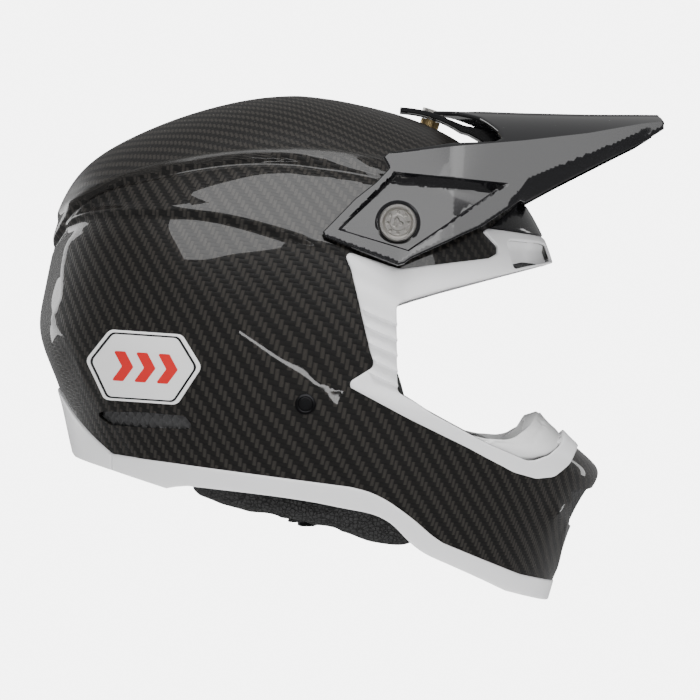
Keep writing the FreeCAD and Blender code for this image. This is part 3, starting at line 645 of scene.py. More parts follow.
MESH = plastic("mesh_grey", (0.045, 0.045, 0.046), 0.45, grain=0.1)
WEBBING = cloth("strap_webbing", (0.018, 0.018, 0.02), 900.0)
BADGE_LINE = plastic("badge_ink_black", (0.01, 0.01, 0.012), 0.2, coat=0.5, grain=0.0)
BADGE_RED = plastic("badge_ink_red", (0.62, 0.012, 0.012), 0.2, coat=0.5, grain=0.0)
SLOT_MATERIALS = {
    "carbon_gloss": CARBON, "white_satin": WHITE, "white_gloss": WHITE_GLOSS,
    "black_gloss": BLACK_GLOSS, "black_matte": BLACK_MATTE, "foam_black": FOAM,
    "foam_grey": FOAM_GREY, "lining_black": LINING, "grain_black": GRAIN,
    "rubber_black": RUBBER, "badge_white": WHITE_GLOSS, "black_metal": DARK_METAL,
    "steel": STEEL, "silver": SILVER, "webbing_black": LINING, "brass": BRASS,
}


def dress_frame():
    """Give each CAD node the material of its slot."""
    for entry in frame["record"]["subparts"]:
        data = NODES[entry["node"]].data
        data.materials.clear()
        data.materials.append(SLOT_MATERIALS[entry["material_slot"]])


def finish_piece(piece, material, body, node=None):
    """Dress a piece, let it ride on its body and stand for its CAD node."""
    piece.data.materials.append(material)
    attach(piece, body)
    if node:
        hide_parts(node)
    return piece


dress_frame()

# ---------------------------------------------------------------- side-view outlines (mm)
PORT = ((66, 6, 5), (66.5, -46.5, 5), (87, -59.5, 12), (122, -78, 0), (146, -88.5, 14),
        (158, -85, 8), (166.6, -79, 6), (170.5, -68, 0), (260, -68, 0), (260, 50, 0), (162, 32, 0),
        (137.5, 26, 0), (97, 15.5, 30), (80, 10.5, 0))
GROOVE = spline(((-150, 34), (-132, 57), (-121, 68), (-96, 78), (-68, 83.4), (-41, 87.8),
                 (0, 89.3), (38, 85.6), (66, 79.4), (100, 68.8), (131, 54.6), (150, 44)), 1.5)
CROWN_EDGE = spline(((-128, 66), (-98, 79.5), (-81, 84.8), (-61, 89), (-27, 93.2), (0, 94.8),
                     (38, 95.4), (66, 92), (100, 82), (131, 66), (146, 56)), 1.5)
LEDGE = spline(((-148, 34), (-136, 52), (-124, 58.6), (-112, 60.2), (-88, 60.4), (-64, 59.6),
                (-41, 57), (-14, 50.4), (14, 42), (34, 36)), 1.5)
NAPE_CREASE = spline(((-127, 52), (-132, 43), (-135, 25), (-137.6, 4), (-141.4, -4), (-136, -10),
                      (-126.5, -23), (-121, -40), (-111.6, -56)), 1.5)
CHIN_CREASE = np.array(((108.5, -86.5), (118, -92), (161.2, -118.7)))
CHIN_RISER = np.array(((161.2, -118.7), (190, -93)))
CHIN_FRONT = np.array(((161.2, -118.7), (169.5, -126.5), (162.5, -166)))


FLAT = {name: EGG.unwrap(line) for name, line in (
    ("groove", GROOVE), ("crown", CROWN_EDGE), ("ledge", LEDGE), ("nape", NAPE_CREASE),
    ("chin", CHIN_CREASE), ("riser", CHIN_RISER), ("front", CHIN_FRONT))}
LIP = 1.8
STEP = 1.5


def shell_relief(flat, places):
    """How far the shell's face stands out from the egg: bands, ledge, creases, hollows."""
    x = places[:, 0]
    z = places[:, 2]
    aside = smooth(2, 34, places[:, 1])
    above = line_gap(flat, FLAT["groove"])
    over_edge = line_gap(flat, FLAT["crown"])
    crown = smooth(0, 1, above / np.maximum(above - over_edge, 0.3))
    crown = np.where(over_edge > 0, 1.0, np.where(above > 0, crown, 0.0))
    rise = 3.2 * crown * aside * (1 - 0.85 * smooth(15, 60, x))
    rise += 0.5 * np.exp(-((over_edge - 1.5) / 1.5) ** 2) * aside
    rise -= 1.5 * np.exp(-(above / LIP) ** 2) * smooth(0, 12, places[:, 1])
    over = line_gap(flat, FLAT["ledge"])
    fade = aside * (1 - 0.7 * smooth(-30, 50, x)) * (1 - 0.6 * smooth(5, 25, x))
    rise += (3.0 * smooth(-STEP, STEP, over) + 0.6 * np.exp(-((over - 2 * STEP) / 3) ** 2)) * fade
    under = (above < 0) & (over > 0)
    scoop = smooth(60, 118, -x) * np.exp(-(over / 11) ** 2)
    rise -= 5.5 * scoop * np.where(under, smooth(0, 6, over), 0) * smooth(0, 5, -above)
    nape = line_gap(flat, FLAT["nape"])
    rise += 2.2 * np.exp(-np.abs(nape) / np.where(nape > 0, 26, 9)) * smooth(2, 12, -over) * aside
    chin = np.abs(line_gap(flat, FLAT["chin"]))
    rise += 2.6 * np.exp(-chin / 12) * smooth(100, 130, x)
    riser = line_gap(flat, FLAT["riser"])
    rise += 1.2 * np.exp(-np.abs(riser) / 6) * smooth(150, 165, x)
    front = np.abs(line_gap(flat, FLAT["front"]))
    rise += 1.8 * np.exp(-front / 7) * smooth(2, 14, places[:, 1])
    return rise


SHELL_STRANDS = [
    *beside(FLAT["groove"], (-3, -1.8, -0.9, 0, 0.9, 1.8)),
    *beside(FLAT["crown"], (0, 1.5, 3.2)),
    *beside(FLAT["ledge"], (-1.6 * STEP, -STEP, -0.5 * STEP, 0, 0.5 * STEP, STEP, 2 * STEP, 4 * STEP)),
    *beside(FLAT["nape"], (-2, 0, 2)),
    *beside(FLAT["chin"], (-1.5, 0, 1.5)),
    *beside(FLAT["riser"], (0,)),
    *beside(FLAT["front"], (-1.5, 0, 1.5)),
]

REST_SLOPE = 0.3078
REST_POINT = (-71.3, -104.2)


def rest_z(x):
    """Height of the plane that the rim rests on."""
    return REST_POINT[1] - REST_SLOPE * (x - REST_POINT[0])


HEM_LINE = np.vstack([
    spline(((-170, -10), (-150, -33), (-133, -56), (-121, -69.5), (-105.5, -83.3)), 1.0),
    resample(np.array(((-104, -84), (38, -102.8))), 2.0),
    spline(((40, -103.2), (50, -106), (60, -110.8), (70, -117.6), (81, -126.5), (87, -131.8),
            (94, -136.8)), 1.0),
    resample(np.array(((96, -137.7), (141, -157), (180, -167.5))), 2.0)])
RIM_LINE = np.vstack([
    resample(np.array(((-160, -66), (-132, -84.5), (-129, -87), (-104.8, rest_z(-104.8)),
                       REST_POINT, (-66, -103.2), (-59, -102.6))), 1.5),
    spline(((-58, -102.6), (-30, -105.6), (-6, -108.5), (20, -112.6), (39, -116.4), (53, -119.6),
            (63, -125), (72, -134), (80, -141), (95, -148.8), (118, -159.6)), 1.5),
    resample(np.array(((132, rest_z(132)), (180, rest_z(180)))), 1.5)])
MOUTH = ((172, -130, 3), (172, -106, 3), (215, -106, 0), (215, -130, 0))
MOUTH_BACK = ((168, -136, 3), (168, -101, 3), (215, -101, 0), (215, -136, 0))
EXHAUST = ((-116, -58, 3), (-84, -58.6, 0), (-60, -60.6, 4), (-53.5, -68.6, 3), (-84, -67.8, 0),
           (-106, -66.2, 3))
BROW_VENT = ((131.5, 45, 3), (154, 43.8, 0), (175, 39, 0), (175, 36, 0), (161, 33, 0), (136.5, 27.2, 2))


def make_shell():
    """Carbon shell with its openings."""
    outline = np.vstack([HEM_LINE, np.array(((260, -160), (260, 200), (-230, 200), (-230, -10)))])
    shell = skin(
        "outer_shell_carbon", outline, holes=[rounded(PORT), rounded(EXHAUST), rounded(MOUTH)],
        vents=[rounded(BROW_VENT)], strands=SHELL_STRANDS, spacing=2.0, height=shell_relief,
        depth=2.3, sharp=50)
    return finish_piece(shell, CARBON, "helmet", "outer_shell")


# ---------------------------------------------------------------- white mouldings
TRIM = ((34, 38, 3), (39, 27, 12), (50, -20.5, 30), (53, -31, 4), (38.5, -40, 3), (38.5, -43.5, 2),
        (74, -62.5, 20), (108.5, -79.5, 20), (136, -94.5, 20), (150, -98.5, 8), (161, -97.5, 8),
        (170.5, -90.5, 10), (178, -81, 0), (230, -81, 0), (230, 46.5, 0), (156.5, 46.5, 0),
        (154.5, 47.8, 2), (121, 51.5, 3), (118, 50, 1), (126.5, 41, 2), (126.5, 36.5, 2),
        (121, 33.5, 3), (68, 26.7, 10))
RIB_COUNT = 5
RIBS = [np.array(((47.4 + 1.3 * i, 1.4 - 9.4 * i), (65.8 + 0.3 * i, -6.3 - 9.2 * i)))
        for i in range(RIB_COUNT)]
TRIM_VALLEY = np.array(((40, 22.5), (66, 9.3)))


def trim_relief(flat, places):
    """Ribs with a soft shadow side and the valley above them."""
    rise = np.full(len(flat), 2.2)
    for rib in TRIM_RIBS:
        gap = line_gap(flat, rib)
        rise += 1.5 * np.exp(-(gap / 0.7) ** 2)
        rise -= 1.1 * np.exp(np.minimum(gap, 0) / 2.8) * (gap < -0.5) * (gap > -9)
    valley = line_gap(flat, EGG.unwrap(TRIM_VALLEY))
    rise -= 1.1 * np.exp(-(valley / 3.2) ** 2)
    return rise


def trim_depth(flat, places):
    """Thin over the shell, deep where the moulding wraps the port's edge."""
    gap = np.abs(line_gap(flat, PORT_FLAT, True))
    return np.where(gap < 2.8, 7.0, 1.9)


TRIM_RIBS = [EGG.unwrap(resample(rib, 2.0)) for rib in RIBS]
PORT_FLAT = EGG.unwrap(rounded(PORT))


def make_port_trim():
    """White moulding round the port with ribbed cheeks and the brow vents' frames."""
    strands = [copy for rib in TRIM_RIBS for copy in beside(rib, (-1.8, -0.9, 0, 0.9))]
    trim = skin("eyeport_trim_moulding", rounded(TRIM), holes=[rounded(PORT)],
                vents=[rounded(BROW_VENT)], strands=strands, spacing=1.5, height=trim_relief,
                depth=trim_depth, edge=0.9)
    finish_piece(trim, WHITE, "helmet", "eyeport_trim")


BROW = ((122.5, 52, 0), (157.5, 48.3, 0), (230, 50, 0), (230, 84, 0), (170, 84, 0),
        (145.5, 66.5, 0), (142, 69.4, 0))
POCKET = ((131, 45.5, 2), (154, 44.3, 0), (178, 40, 0), (178, 36.5, 0), (161, 31.5, 0), (145, 32.8, 0),
          (136.8, 31, 2))
POCKET_TOP = np.array(((129, 45.6), (154, 44.4), (180, 39.6)))


def make_brow():
    """Gloss brow cover, the brow vents' pockets and every vent's mesh."""
    cover = skin("brow_cover_panel", rounded(BROW), spacing=2.2, depth=1.9, edge=0.8,
                 height=2.0)
    finish_piece(cover, BLACK_GLOSS, "helmet", "brow_cover")
    top = EGG.unwrap(resample(POCKET_TOP, 2.0))
    pocket = skin("brow_vent_pockets", rounded(POCKET), strands=beside(top, (-4, -2)), spacing=1.6,
                  depth=0.6, height=lambda flat, places: -2.4 * smooth(0, 4.5, -line_gap(flat, top)))
    finish_piece(pocket, WHITE, "helmet")
    for name, outline, node, level in (
            ("brow_vent_mesh", BROW_VENT, "brow_vent_inserts", -3.5),
            ("exhaust_mesh", EXHAUST, "exhaust_grilles", -1.6),
            ("mouth_vent_mesh", MOUTH_BACK, "mouth_vent_grille", -2.6)):
        mesh = skin(name, rounded(outline), spacing=0.9, depth=1.5,
                    height=lambda flat, places: level + 0.7 * grid_bars(flat, 3.2, 0.8, 45))
        finish_piece(mesh, MESH, "helmet", node)


def grid_bars(flat, pitch, width, turn):
    """1 on the bars of a crossed grid, 0 in its holes."""
    angle = math.radians(turn)
    u = flat[:, 0] * math.cos(angle) + flat[:, 1] * math.sin(angle)
    v = flat[:, 1] * math.cos(angle) - flat[:, 0] * math.sin(angle)
    near = np.minimum(np.abs((u / pitch) % 1 - 0.5), np.abs((v / pitch) % 1 - 0.5)) * pitch
    return (near < width / 2).astype(float)


def make_rims():
    """White rim mouldings: a nape piece and a front piece with a seam between them."""
    border = np.vstack([HEM_LINE, RIM_LINE[::-1]])
    seam = -104.8
    for name, node, low, high in (("rear_rim_moulding", "rear_edge_trim", -400, seam - 0.2),
                                  ("lower_rim_moulding", "lower_edge_trim", seam + 0.2, 400)):
        part = clip_x(border, low, high)
        rim = skin(name, part, spacing=2.2, edge=1.1, depth=8.0,
                   height=1.5)
        finish_piece(rim, WHITE, "helmet", node)


def clip_x(polygon, low, high):
    """The part of a polygon between two x values."""
    for limit, sign in ((low, 1), (high, -1)):
        out = []
        count = len(polygon)
        for i in range(count):
            a = polygon[i]
            b = polygon[(i + 1) % count]
            a_in = sign * (a[0] - limit) >= 0
            b_in = sign * (b[0] - limit) >= 0
            if a_in:
                out.append(a)
            if a_in != b_in:
                share = (limit - a[0]) / (b[0] - a[0])
                out.append(a + (b - a) * share)
        polygon = np.array(out)
    return polygon


MOUTHPIECE = ((114, -73.5, 0), (121.5, -74.6, 8), (133, -74, 12), (140, -71.5, 10), (152, -64, 0),
              (160, -57.3, 2), (163, -56, 0), (200, -56, 0), (200, -68, 0), (170.5, -68, 0),
              (166.6, -79, 6), (158, -85, 8), (146, -88.5, 14), (122, -78, 0))
MOUTH_SEAM = np.array(((126, -77), (140, -77.5), (150, -74), (158, -66)))


def make_mouthpiece():
    """Glossy mouth guard rising inside the chin bar, with its moulding seam."""
    seam = EGG.unwrap(resample(MOUTH_SEAM, 1.0))

    def relief(flat, places):
        gap = line_gap(flat, seam)
        back = 1.2 + 0.3 * np.clip(places[:, 2] + 69, 0, 15)
        return -back - 0.8 * np.exp(-(gap / 0.8) ** 2) - 1.2 * smooth(0, 3, gap)

    guard = skin("mouth_guard", rounded(MOUTHPIECE), strands=beside(seam, (-0.8, 0, 0.8, 3)),
                 spacing=1.7, height=relief, depth=8.0, edge=1.0)
    finish_piece(guard, WHITE_GLOSS, "helmet", "mouthpiece")


BADGE_CENTRE = np.array((-84.5, -31.5))
BADGE_SIZE = np.array((35.0, 21.0))
BADGE_CORNERS = np.array(((-0.62, 1), (0.62, 1), (1, 0.12), (0.62, -1), (-0.62, -1), (-1, 0.12)))
BADGE_TILT = math.radians(-4)


def badge_place(points):
    """Badge drawing units to the side view."""
    points = np.asarray(points, float) * BADGE_SIZE
    cos = math.cos(BADGE_TILT)
    sin = math.sin(BADGE_TILT)
    return BADGE_CENTRE + np.stack([points[:, 0] * cos - points[:, 1] * sin,
                                    points[:, 0] * sin + points[:, 1] * cos], 1)


def with_radius(points, radius):
    return [(x, z, radius) for x, z in points]


def make_badges():
    """Raised six-sided badges with a dark pinline and slanted bars; no lettering."""
    def level(rise):
        return lambda flat, places: shell_relief(flat, places) + rise

    plate = skin("side_badge_plates", rounded(with_radius(badge_place(BADGE_CORNERS), 5)),
                 spacing=2.5, height=level(1.3), depth=1.1, edge=0.5)
    finish_piece(plate, WHITE_GLOSS, "helmet", "side_badges")
    outer = rounded(with_radius(badge_place(BADGE_CORNERS * 0.93), 4.4), 0.8)
    inner = rounded(with_radius(badge_place(BADGE_CORNERS * 0.885), 4.0), 0.8)
    line = skin("side_badge_pinlines", outer, holes=[inner], spacing=2.0, height=level(1.36), depth=0.2)
    finish_piece(line, BADGE_LINE, "helmet")
    for index, start in enumerate((-0.52, -0.14, 0.24)):
        bar = np.array(((start, -0.42), (start + 0.2, -0.42), (start + 0.36, 0.0),
                        (start + 0.2, 0.42), (start, 0.42), (start + 0.16, 0.0)))
        mark = skin("side_badge_chevron_%d" % index, rounded(with_radius(badge_place(bar), 0.8), 0.8),
                    spacing=2.0, height=level(1.36), depth=0.2)
        finish_piece(mark, BADGE_RED, "helmet")


# ---------------------------------------------------------------- peak
PEAK_SECTIONS = np.array((
    (10, 127, 97, 95, 129), (67, 127, 98, 97, 126), (100, 126.5, 95, 101, 118),
    (143, 125, 84, 105, 100), (183, 124, 73, 110, 86), (215, 123.5, 64, 116, 74),
    (240, 123, 58, 119, 66)))
PEAK_FOOT = 20.0


class Arch:
    """The peak's form: a curved top from the ridge out to a shoulder, then a flat side."""

    def sizes(self, x):
        return [np.interp(x, PEAK_SECTIONS[:, 0], PEAK_SECTIONS[:, k]) for k in (1, 2, 3, 4)]

    def unwrap(self, points):
        """Side-face points (x, z) to (x, distance down the section)."""
        points = np.asarray(points, float)
        ridge, shoulder, shoulder_z, foot = self.sizes(points[:, 0])
        slope = np.hypot(foot - shoulder, shoulder_z - PEAK_FOOT)
        down = shoulder + (shoulder_z - points[:, 1]) / (shoulder_z - PEAK_FOOT) * slope
        return np.stack([points[:, 0], -down], 1)

    def wrap(self, flat):
        x = flat[:, 0]
        down = np.maximum(-flat[:, 1], 0)
        ridge, shoulder, shoulder_z, foot = self.sizes(x)
        slope = np.hypot(foot - shoulder, shoulder_z - PEAK_FOOT)
        over = np.clip(down / shoulder, 0, 1)
        side = np.clip((down - shoulder) / slope, 0, None)
        y = over * shoulder + side * (foot - shoulder)
        z = ridge - (ridge - shoulder_z) * over ** 2.15 - side * (shoulder_z - PEAK_FOOT)
        return np.stack([x, y, z], 1)

    def normal(self, places):
        """Outward normals, from the nearest flattened point."""
        flat = self.flat
        e = 0.6
        along = self.wrap(flat + (e, 0)) - self.wrap(flat - (e, 0))
        across = self.wrap(flat + (0, -e)) - self.wrap(flat + (0, e))
        n = np.cross(across, along)
        n /= np.maximum(np.linalg.norm(n, axis=1), 1e-9)[:, None]
        n[n[:, 1] + n[:, 2] < 0] *= -1
        return n

    def rim(self):
        return np.array(((-100, 0), (400, 0), (400, -400), (-100, -400)), float)

    def keep_off(self, flat, gap):
        return flat


ARCH = Arch()


def make_peak():
    """Gloss peak: arched top, long wings to the pivots, grooved and recessed side faces."""
    lower = np.array(((229.5, 113), (218.5, 106), (202, 97.7), (170.5, 82), (146, 69),
                      (142, 69.4), (118, 53), (75, 33.5), (71, 30.5), (67, 29.5), (23.4, 46.4),
                      (22.3, 49.5), (41.5, 69.5), (54, 79.5), (62, 88), (58.5, 94.5)))
    sides = ARCH.unwrap(resample(lower, 3.0))
    shoulder = ARCH.sizes(np.array((62.0, 130.0)))[1]
    top = np.array(((62, -shoulder[0] + 1.5), (126, -shoulder[1] + 1.5), (130, -shoulder[1] + 6),
                    (128, -70), (118, -45), (101, -20), (84, 0), (84, 2), (226, 2), (229, -30)))
    outline = np.vstack([top, sides])
    recess_corners = np.array(((65.5, 85.5), (134, 79), (73.5, 37.5), (31, 50.5)))
    recess = ARCH.unwrap(resample(recess_corners, 2.0, True))
    recess_top = ARCH.unwrap(resample(np.array(((60, 86.2), (140, 78.5))), 2.0))
    band = ARCH.unwrap(resample(np.array(((138, 71.8), (142.6, 77), (147, 81.5), (158, 86),
                                          (202, 104.2), (214, 110))), 2.0))

    def relief(flat, places):
        in_recess = inside(flat, recess)
        gap = np.abs(line_gap(flat, recess, True)) * np.where(in_recess, 1, -1)
        from_top = np.abs(line_gap(flat, recess_top))
        deep = 3.6 * smooth(0, 5.5, from_top) * (1 - smooth(5.5, 46, from_top))
        rise = -(1.3 * smooth(0, 1.3, gap) + deep * in_recess)
        under = -line_gap(flat, band)
        along_band = smooth(134, 146, flat[:, 0]) * (1 - smooth(200, 222, flat[:, 0]))
        rise -= 0.75 * np.clip(under, 0, 16) * along_band
        spine = -flat[:, 1]
        rise += 0.9 * np.exp(-((spine - 24) / 2.2) ** 2) * smooth(100, 120, flat[:, 0])
        return rise

    def thickness(flat, places):
        return 2.4 - 1.8 * inside(flat, recess) - 1.2 * (flat[:, 0] < 31)

    x = np.arange(40.0, 232.0, 2.0)
    fold_line = np.stack([x, -ARCH.sizes(x)[1]], 1)
    strands = [*beside(np.vstack([recess, recess[:1]]), (-1.3, -0.65, 0, 0.65, 1.3)),
               *beside(recess_top, (-5.5, -2.7, 0)), *beside(band, (-16, 0)),
               *beside(fold_line, (-1.2, 0, 1.2)),
               *beside(np.stack([x, x * 0 - 24], 1), (-2.2, 0, 2.2))]
    peak = skin("peak_shell", outline, spacing=1.8, height=relief, depth=thickness, edge=1.1, egg=ARCH,
                strands=strands, sharp=40)
    return finish_piece(peak, BLACK_GLOSS, "peak", "peak")


TONGUE_HALF = 15.0
TONGUE_SLOT = 5.4
TILT_AXIS = np.array((67.0, 54.5))


def bar(name, outline, low, high, edge=0.6):
    """A bar of one side-view outline between two y values, with its long edges eased."""
    count = len(outline)
    eased = shift_loop(outline, edge)
    rings = ((low, eased), (low + edge, outline), (high - edge, outline), (high, eased))
    points = np.vstack([np.stack([ring[:, 0], np.full(count, y), ring[:, 1]], 1) for y, ring in rings])
    faces = []
    for start in range(0, 3 * count, count):
        for i in range(count):
            j = (i + 1) % count
            faces.append((start + i, start + j, start + count + j, start + count + i))
    faces += [tuple(range(count))[::-1], tuple(range(3 * count, 4 * count))]
    return new_object(name, points, faces, sharp=40)


def around_tilt(radius, degrees):
    """Points on an arc about the peak's tilt axis, in degrees ahead of straight up."""
    angles = np.radians(degrees)
    return TILT_AXIS + radius * np.stack([np.sin(angles), np.cos(angles)], 1)


def make_tongue():
    """Curved tongue under the peak: two rails beside the centre screw, bridged at both ends."""
    sweep = np.linspace(2, 34, 17)
    under = np.vstack([around_tilt(71.0, sweep), ((112, 111.8), (120, 107.3), (126, 102.5))])
    over = np.vstack([around_tilt(74.1, sweep[:13]), ((109, 117.3), (122, 115), (137, 111), (143, 104.5))])
    rail = np.vstack([under, over[::-1]])
    front = np.vstack([around_tilt(71.0, sweep[12:]), under[17:], over[:12:-1],
                       around_tilt(74.1, sweep[12:13])])
    rear = np.vstack([around_tilt(71.0, sweep[:3]), around_tilt(74.1, sweep[2::-1])])
    for name, outline, low, high in (
            ("peak_tongue_rail_right", rail, -TONGUE_HALF, -TONGUE_SLOT),
            ("peak_tongue_rail_left", rail, TONGUE_SLOT, TONGUE_HALF),
            ("peak_tongue_front", front, -TONGUE_SLOT - 0.7, TONGUE_SLOT + 0.7),
            ("peak_tongue_rear", rear, -TONGUE_SLOT - 0.7, TONGUE_SLOT + 0.7)):
        finish_piece(bar(name, outline, low, high), BLACK_GLOSS, "peak")


# ---------------------------------------------------------------- turned pieces
SIDES = (("right", -1), ("left", 1))


def disc(name, radius, profile, place, axis, rings=48, turns=144):
    """A disc-faced solid: profile(r, angle) is the face's height over the place, in mm."""
    axis = Vector(axis).normalized()
    side = axis.orthogonal().normalized()
    other = axis.cross(side)
    r = np.linspace(0.0, radius, rings)
    a = np.linspace(0, 2 * math.pi, turns, endpoint=False)
    rr, aa = np.meshgrid(r[1:], a, indexing="ij")
    high = profile(rr, aa)
    frame3 = np.array((side, other, axis))
    local = np.stack([rr * np.cos(aa), rr * np.sin(aa), high], 2).reshape(-1, 3)
    centre = np.array(((0, 0, float(profile(np.zeros(1), np.zeros(1))[0])),))
    base_ring = np.stack([radius * np.cos(a), radius * np.sin(a), np.zeros(turns)], 1)
    base = np.array(((0, 0, 0),))
    points = np.vstack([centre, local, base_ring, base]) @ frame3 + np.array(place)
    faces = [(0, 1 + i, 1 + (i + 1) % turns) for i in range(turns)]
    for k in range(rings - 2):
        start = 1 + k * turns
        for i in range(turns):
            j = (i + 1) % turns
            faces.append((start + i, start + turns + i, start + turns + j, start + j))
    last = 1 + (rings - 2) * turns
    foot = 1 + (rings - 1) * turns
    for i in range(turns):
        j = (i + 1) % turns
        faces.append((last + i, foot + i, foot + j, last + j))
        faces.append((foot + turns, foot + j, foot + i))
    return new_object(name, points, faces, sharp=30)


def screw_face(r, a):
    """Dished screw face: bevelled rim, ring groove, eight dimples, three-lobed key recess."""
    h = np.full(r.shape, 4.6)
    h = h - 0.9 * smooth(10.3, 11.2, r) ** 2
    h = h - 0.9 * (1 - smooth(8.6, 9.4, r))
    h = h - 0.5 * np.exp(-((r - 8.1) / 0.25) ** 2)
    h = h + 0.45 * (1 - smooth(4.6, 5.0, r))
    for i in range(8):
        turn = 2 * math.pi * i / 8
        gap = np.hypot(r * np.cos(a) - 6.4 * math.cos(turn), r * np.sin(a) - 6.4 * math.sin(turn))
        h = h - 0.8 * (1 - smooth(0.75, 1.05, gap))
    lobe = 2.3 + 0.9 * np.cos(3 * a)
    h = h - 1.6 * (1 - smooth(lobe - 0.2, lobe + 0.2, r))
    return h


def make_side_screws():
    """Side screws: engraved dished heads over plain shanks."""
    for side, sign in SIDES:
        node = "side_screw_" + side
        low, high = node_box(node)
        centre = (low + high) / 2
        head_face = (abs(low[1]) if sign < 0 else high[1]) - 4.6
        place = (centre[0], sign * head_face, centre[2])
        head = disc("side_screw_head_" + side, 11.2, screw_face, place, (0, sign, 0))
        finish_piece(head, SILVER, node, node)
        shank_len = head_face - (high[1] if sign < 0 else low[1]) * sign
        shank = disc("side_screw_shank_" + side, 3.9,
                     lambda r, a: -shank_len + 0.12 * np.sin(a) * (r > 3), place, (0, sign, 0),
                     rings=4, turns=32)
        finish_piece(shank, SILVER, node)


def make_rivets():
    """Domed strap rivets with a ring groove."""
    low, high = node_box("strap_rivets")
    centre = (low + high) / 2
    for side, sign in SIDES:
        place = (centre[0], sign * (high[1] - 1.8), centre[2])
        head = disc("strap_rivet_" + side, 6.2, rivet_face, place, (0, sign, 0), 30, 72)
        finish_piece(head, DARK_METAL, "helmet", "strap_rivets")


def rivet_face(r, a):
    h = 1.75 * np.sqrt(np.clip(1 - (r / 6.35) ** 4, 0, 1)) + 0.08
    h = h - 0.35 * np.exp(-((r - 4.3) / 0.22) ** 2)
    return h


def make_bosses():
    """The peak's pivot bosses."""
    for side, sign in SIDES:
        low, high = node_box("screw_washers")
        centre = (low + high) / 2
        face = high[1] - 0.85
        place = (centre[0], sign * (face - 7), centre[2])
        boss = disc("peak_boss_" + side, 13.6, lambda r, a: 7.0 - 0.8 * smooth(12.8, 13.6, r),
                    place, (0, sign, 0), 24, 96)
        finish_piece(boss, BLACK_GLOSS, "peak")


# ---------------------------------------------------------------- soft pieces
def puff(node, name, material, body, swell=4.0, shrink=2.2, voxel=4.5, cap=5.0, smooth_steps=6):
    """A padded cover from a CAD soft solid: shrunk, remeshed, blown up as cloth."""
    source = NODES[node]
    mesh = source.data.copy()
    mesh.materials.clear()
    piece = bpy.data.objects.new(name, mesh)
    bpy.context.scene.collection.objects.link(piece)
    model = bmesh.new()
    model.from_mesh(mesh)
    bmesh.ops.remove_doubles(model, verts=model.verts, dist=1e-5)
    model.to_mesh(mesh)
    model.free()
    bake(piece, "REMESH", mode="VOXEL", voxel_size=voxel * MM)
    bake(piece, "SMOOTH", factor=0.6, iterations=smooth_steps)
    normals = np.zeros(len(piece.data.vertices) * 3)
    piece.data.vertices.foreach_get("normal", normals)
    start = read_points(piece) - normals.reshape(-1, 3) * shrink * MM
    write_points(piece, start)
    inflate(piece, swell)
    moved = read_points(piece) - start
    length = np.maximum(np.linalg.norm(moved, axis=1), 1e-9)
    limited = moved * np.minimum(1, cap * MM / length)[:, None]
    write_points(piece, start + limited)
    low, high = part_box(node)
    write_points(piece, np.clip(read_points(piece), np.array(low) - 0.0004, np.array(high) + 0.0004))
    bake(piece, "SUBSURF", levels=1, render_levels=1)
    piece.data.polygons.foreach_set("use_smooth", [True] * len(piece.data.polygons))
    finish_piece(piece, material, body, node)
    return piece


def keep_result(piece):
    """Make a piece's modified mesh its own."""
    graph = bpy.context.evaluated_depsgraph_get()
    made = bpy.data.meshes.new_from_object(piece.evaluated_get(graph))
    piece.modifiers.clear()
    piece.data = made


def bake(piece, kind, **settings):
    """Apply one modifier to a piece's mesh."""
    modifier = piece.modifiers.new(kind.lower(), kind)
    for key, setting in settings.items():
        setattr(modifier, key, setting)
    keep_result(piece)


def read_points(piece):
    points = np.zeros(len(piece.data.vertices) * 3)
    piece.data.vertices.foreach_get("co", points)
    return points.reshape(-1, 3)


def write_points(piece, points):
    piece.data.vertices.foreach_set("co", np.asarray(points).ravel())
    piece.data.update()


def inflate(piece, pressure):
    """Twenty frames of pressurised cloth, kept as the mesh."""
    modifier = piece.modifiers.new("cloth", "CLOTH")
    cloth_settings = modifier.settings
    cloth_settings.use_pressure = True
    cloth_settings.uniform_pressure_force = pressure
    cloth_settings.effector_weights.gravity = 0
    cloth_settings.quality = 4
    cloth_settings.mass = 0.3
    cloth_settings.tension_stiffness = 12
    cloth_settings.compression_stiffness = 12
    cloth_settings.bending_stiffness = 0.4
    scene = bpy.context.scene
    for frame_number in range(1, 21):
        scene.frame_set(frame_number)
    keep_result(piece)
    scene.frame_set(1)


def make_pads():
    """Cheek pads, neck roll and comfort liner as swollen covers."""
    for side in ("right", "left"):
        node = "cheek_pad_" + side
        puff(node, "cheek_pad_cover_" + side, GRAIN, node)
    puff("neck_roll", "neck_roll_cover", GRAIN, "helmet", shrink=1.5)
    puff("comfort_liner", "comfort_liner_cover", LINING, "liner", shrink=0.6,
         voxel=4.0, cap=3.0, smooth_steps=3)
    puff("chin_bar_lining", "chin_bar_lining_cover", LINING, "helmet", shrink=0.4,
         voxel=2.5, cap=2.0, smooth_steps=2)


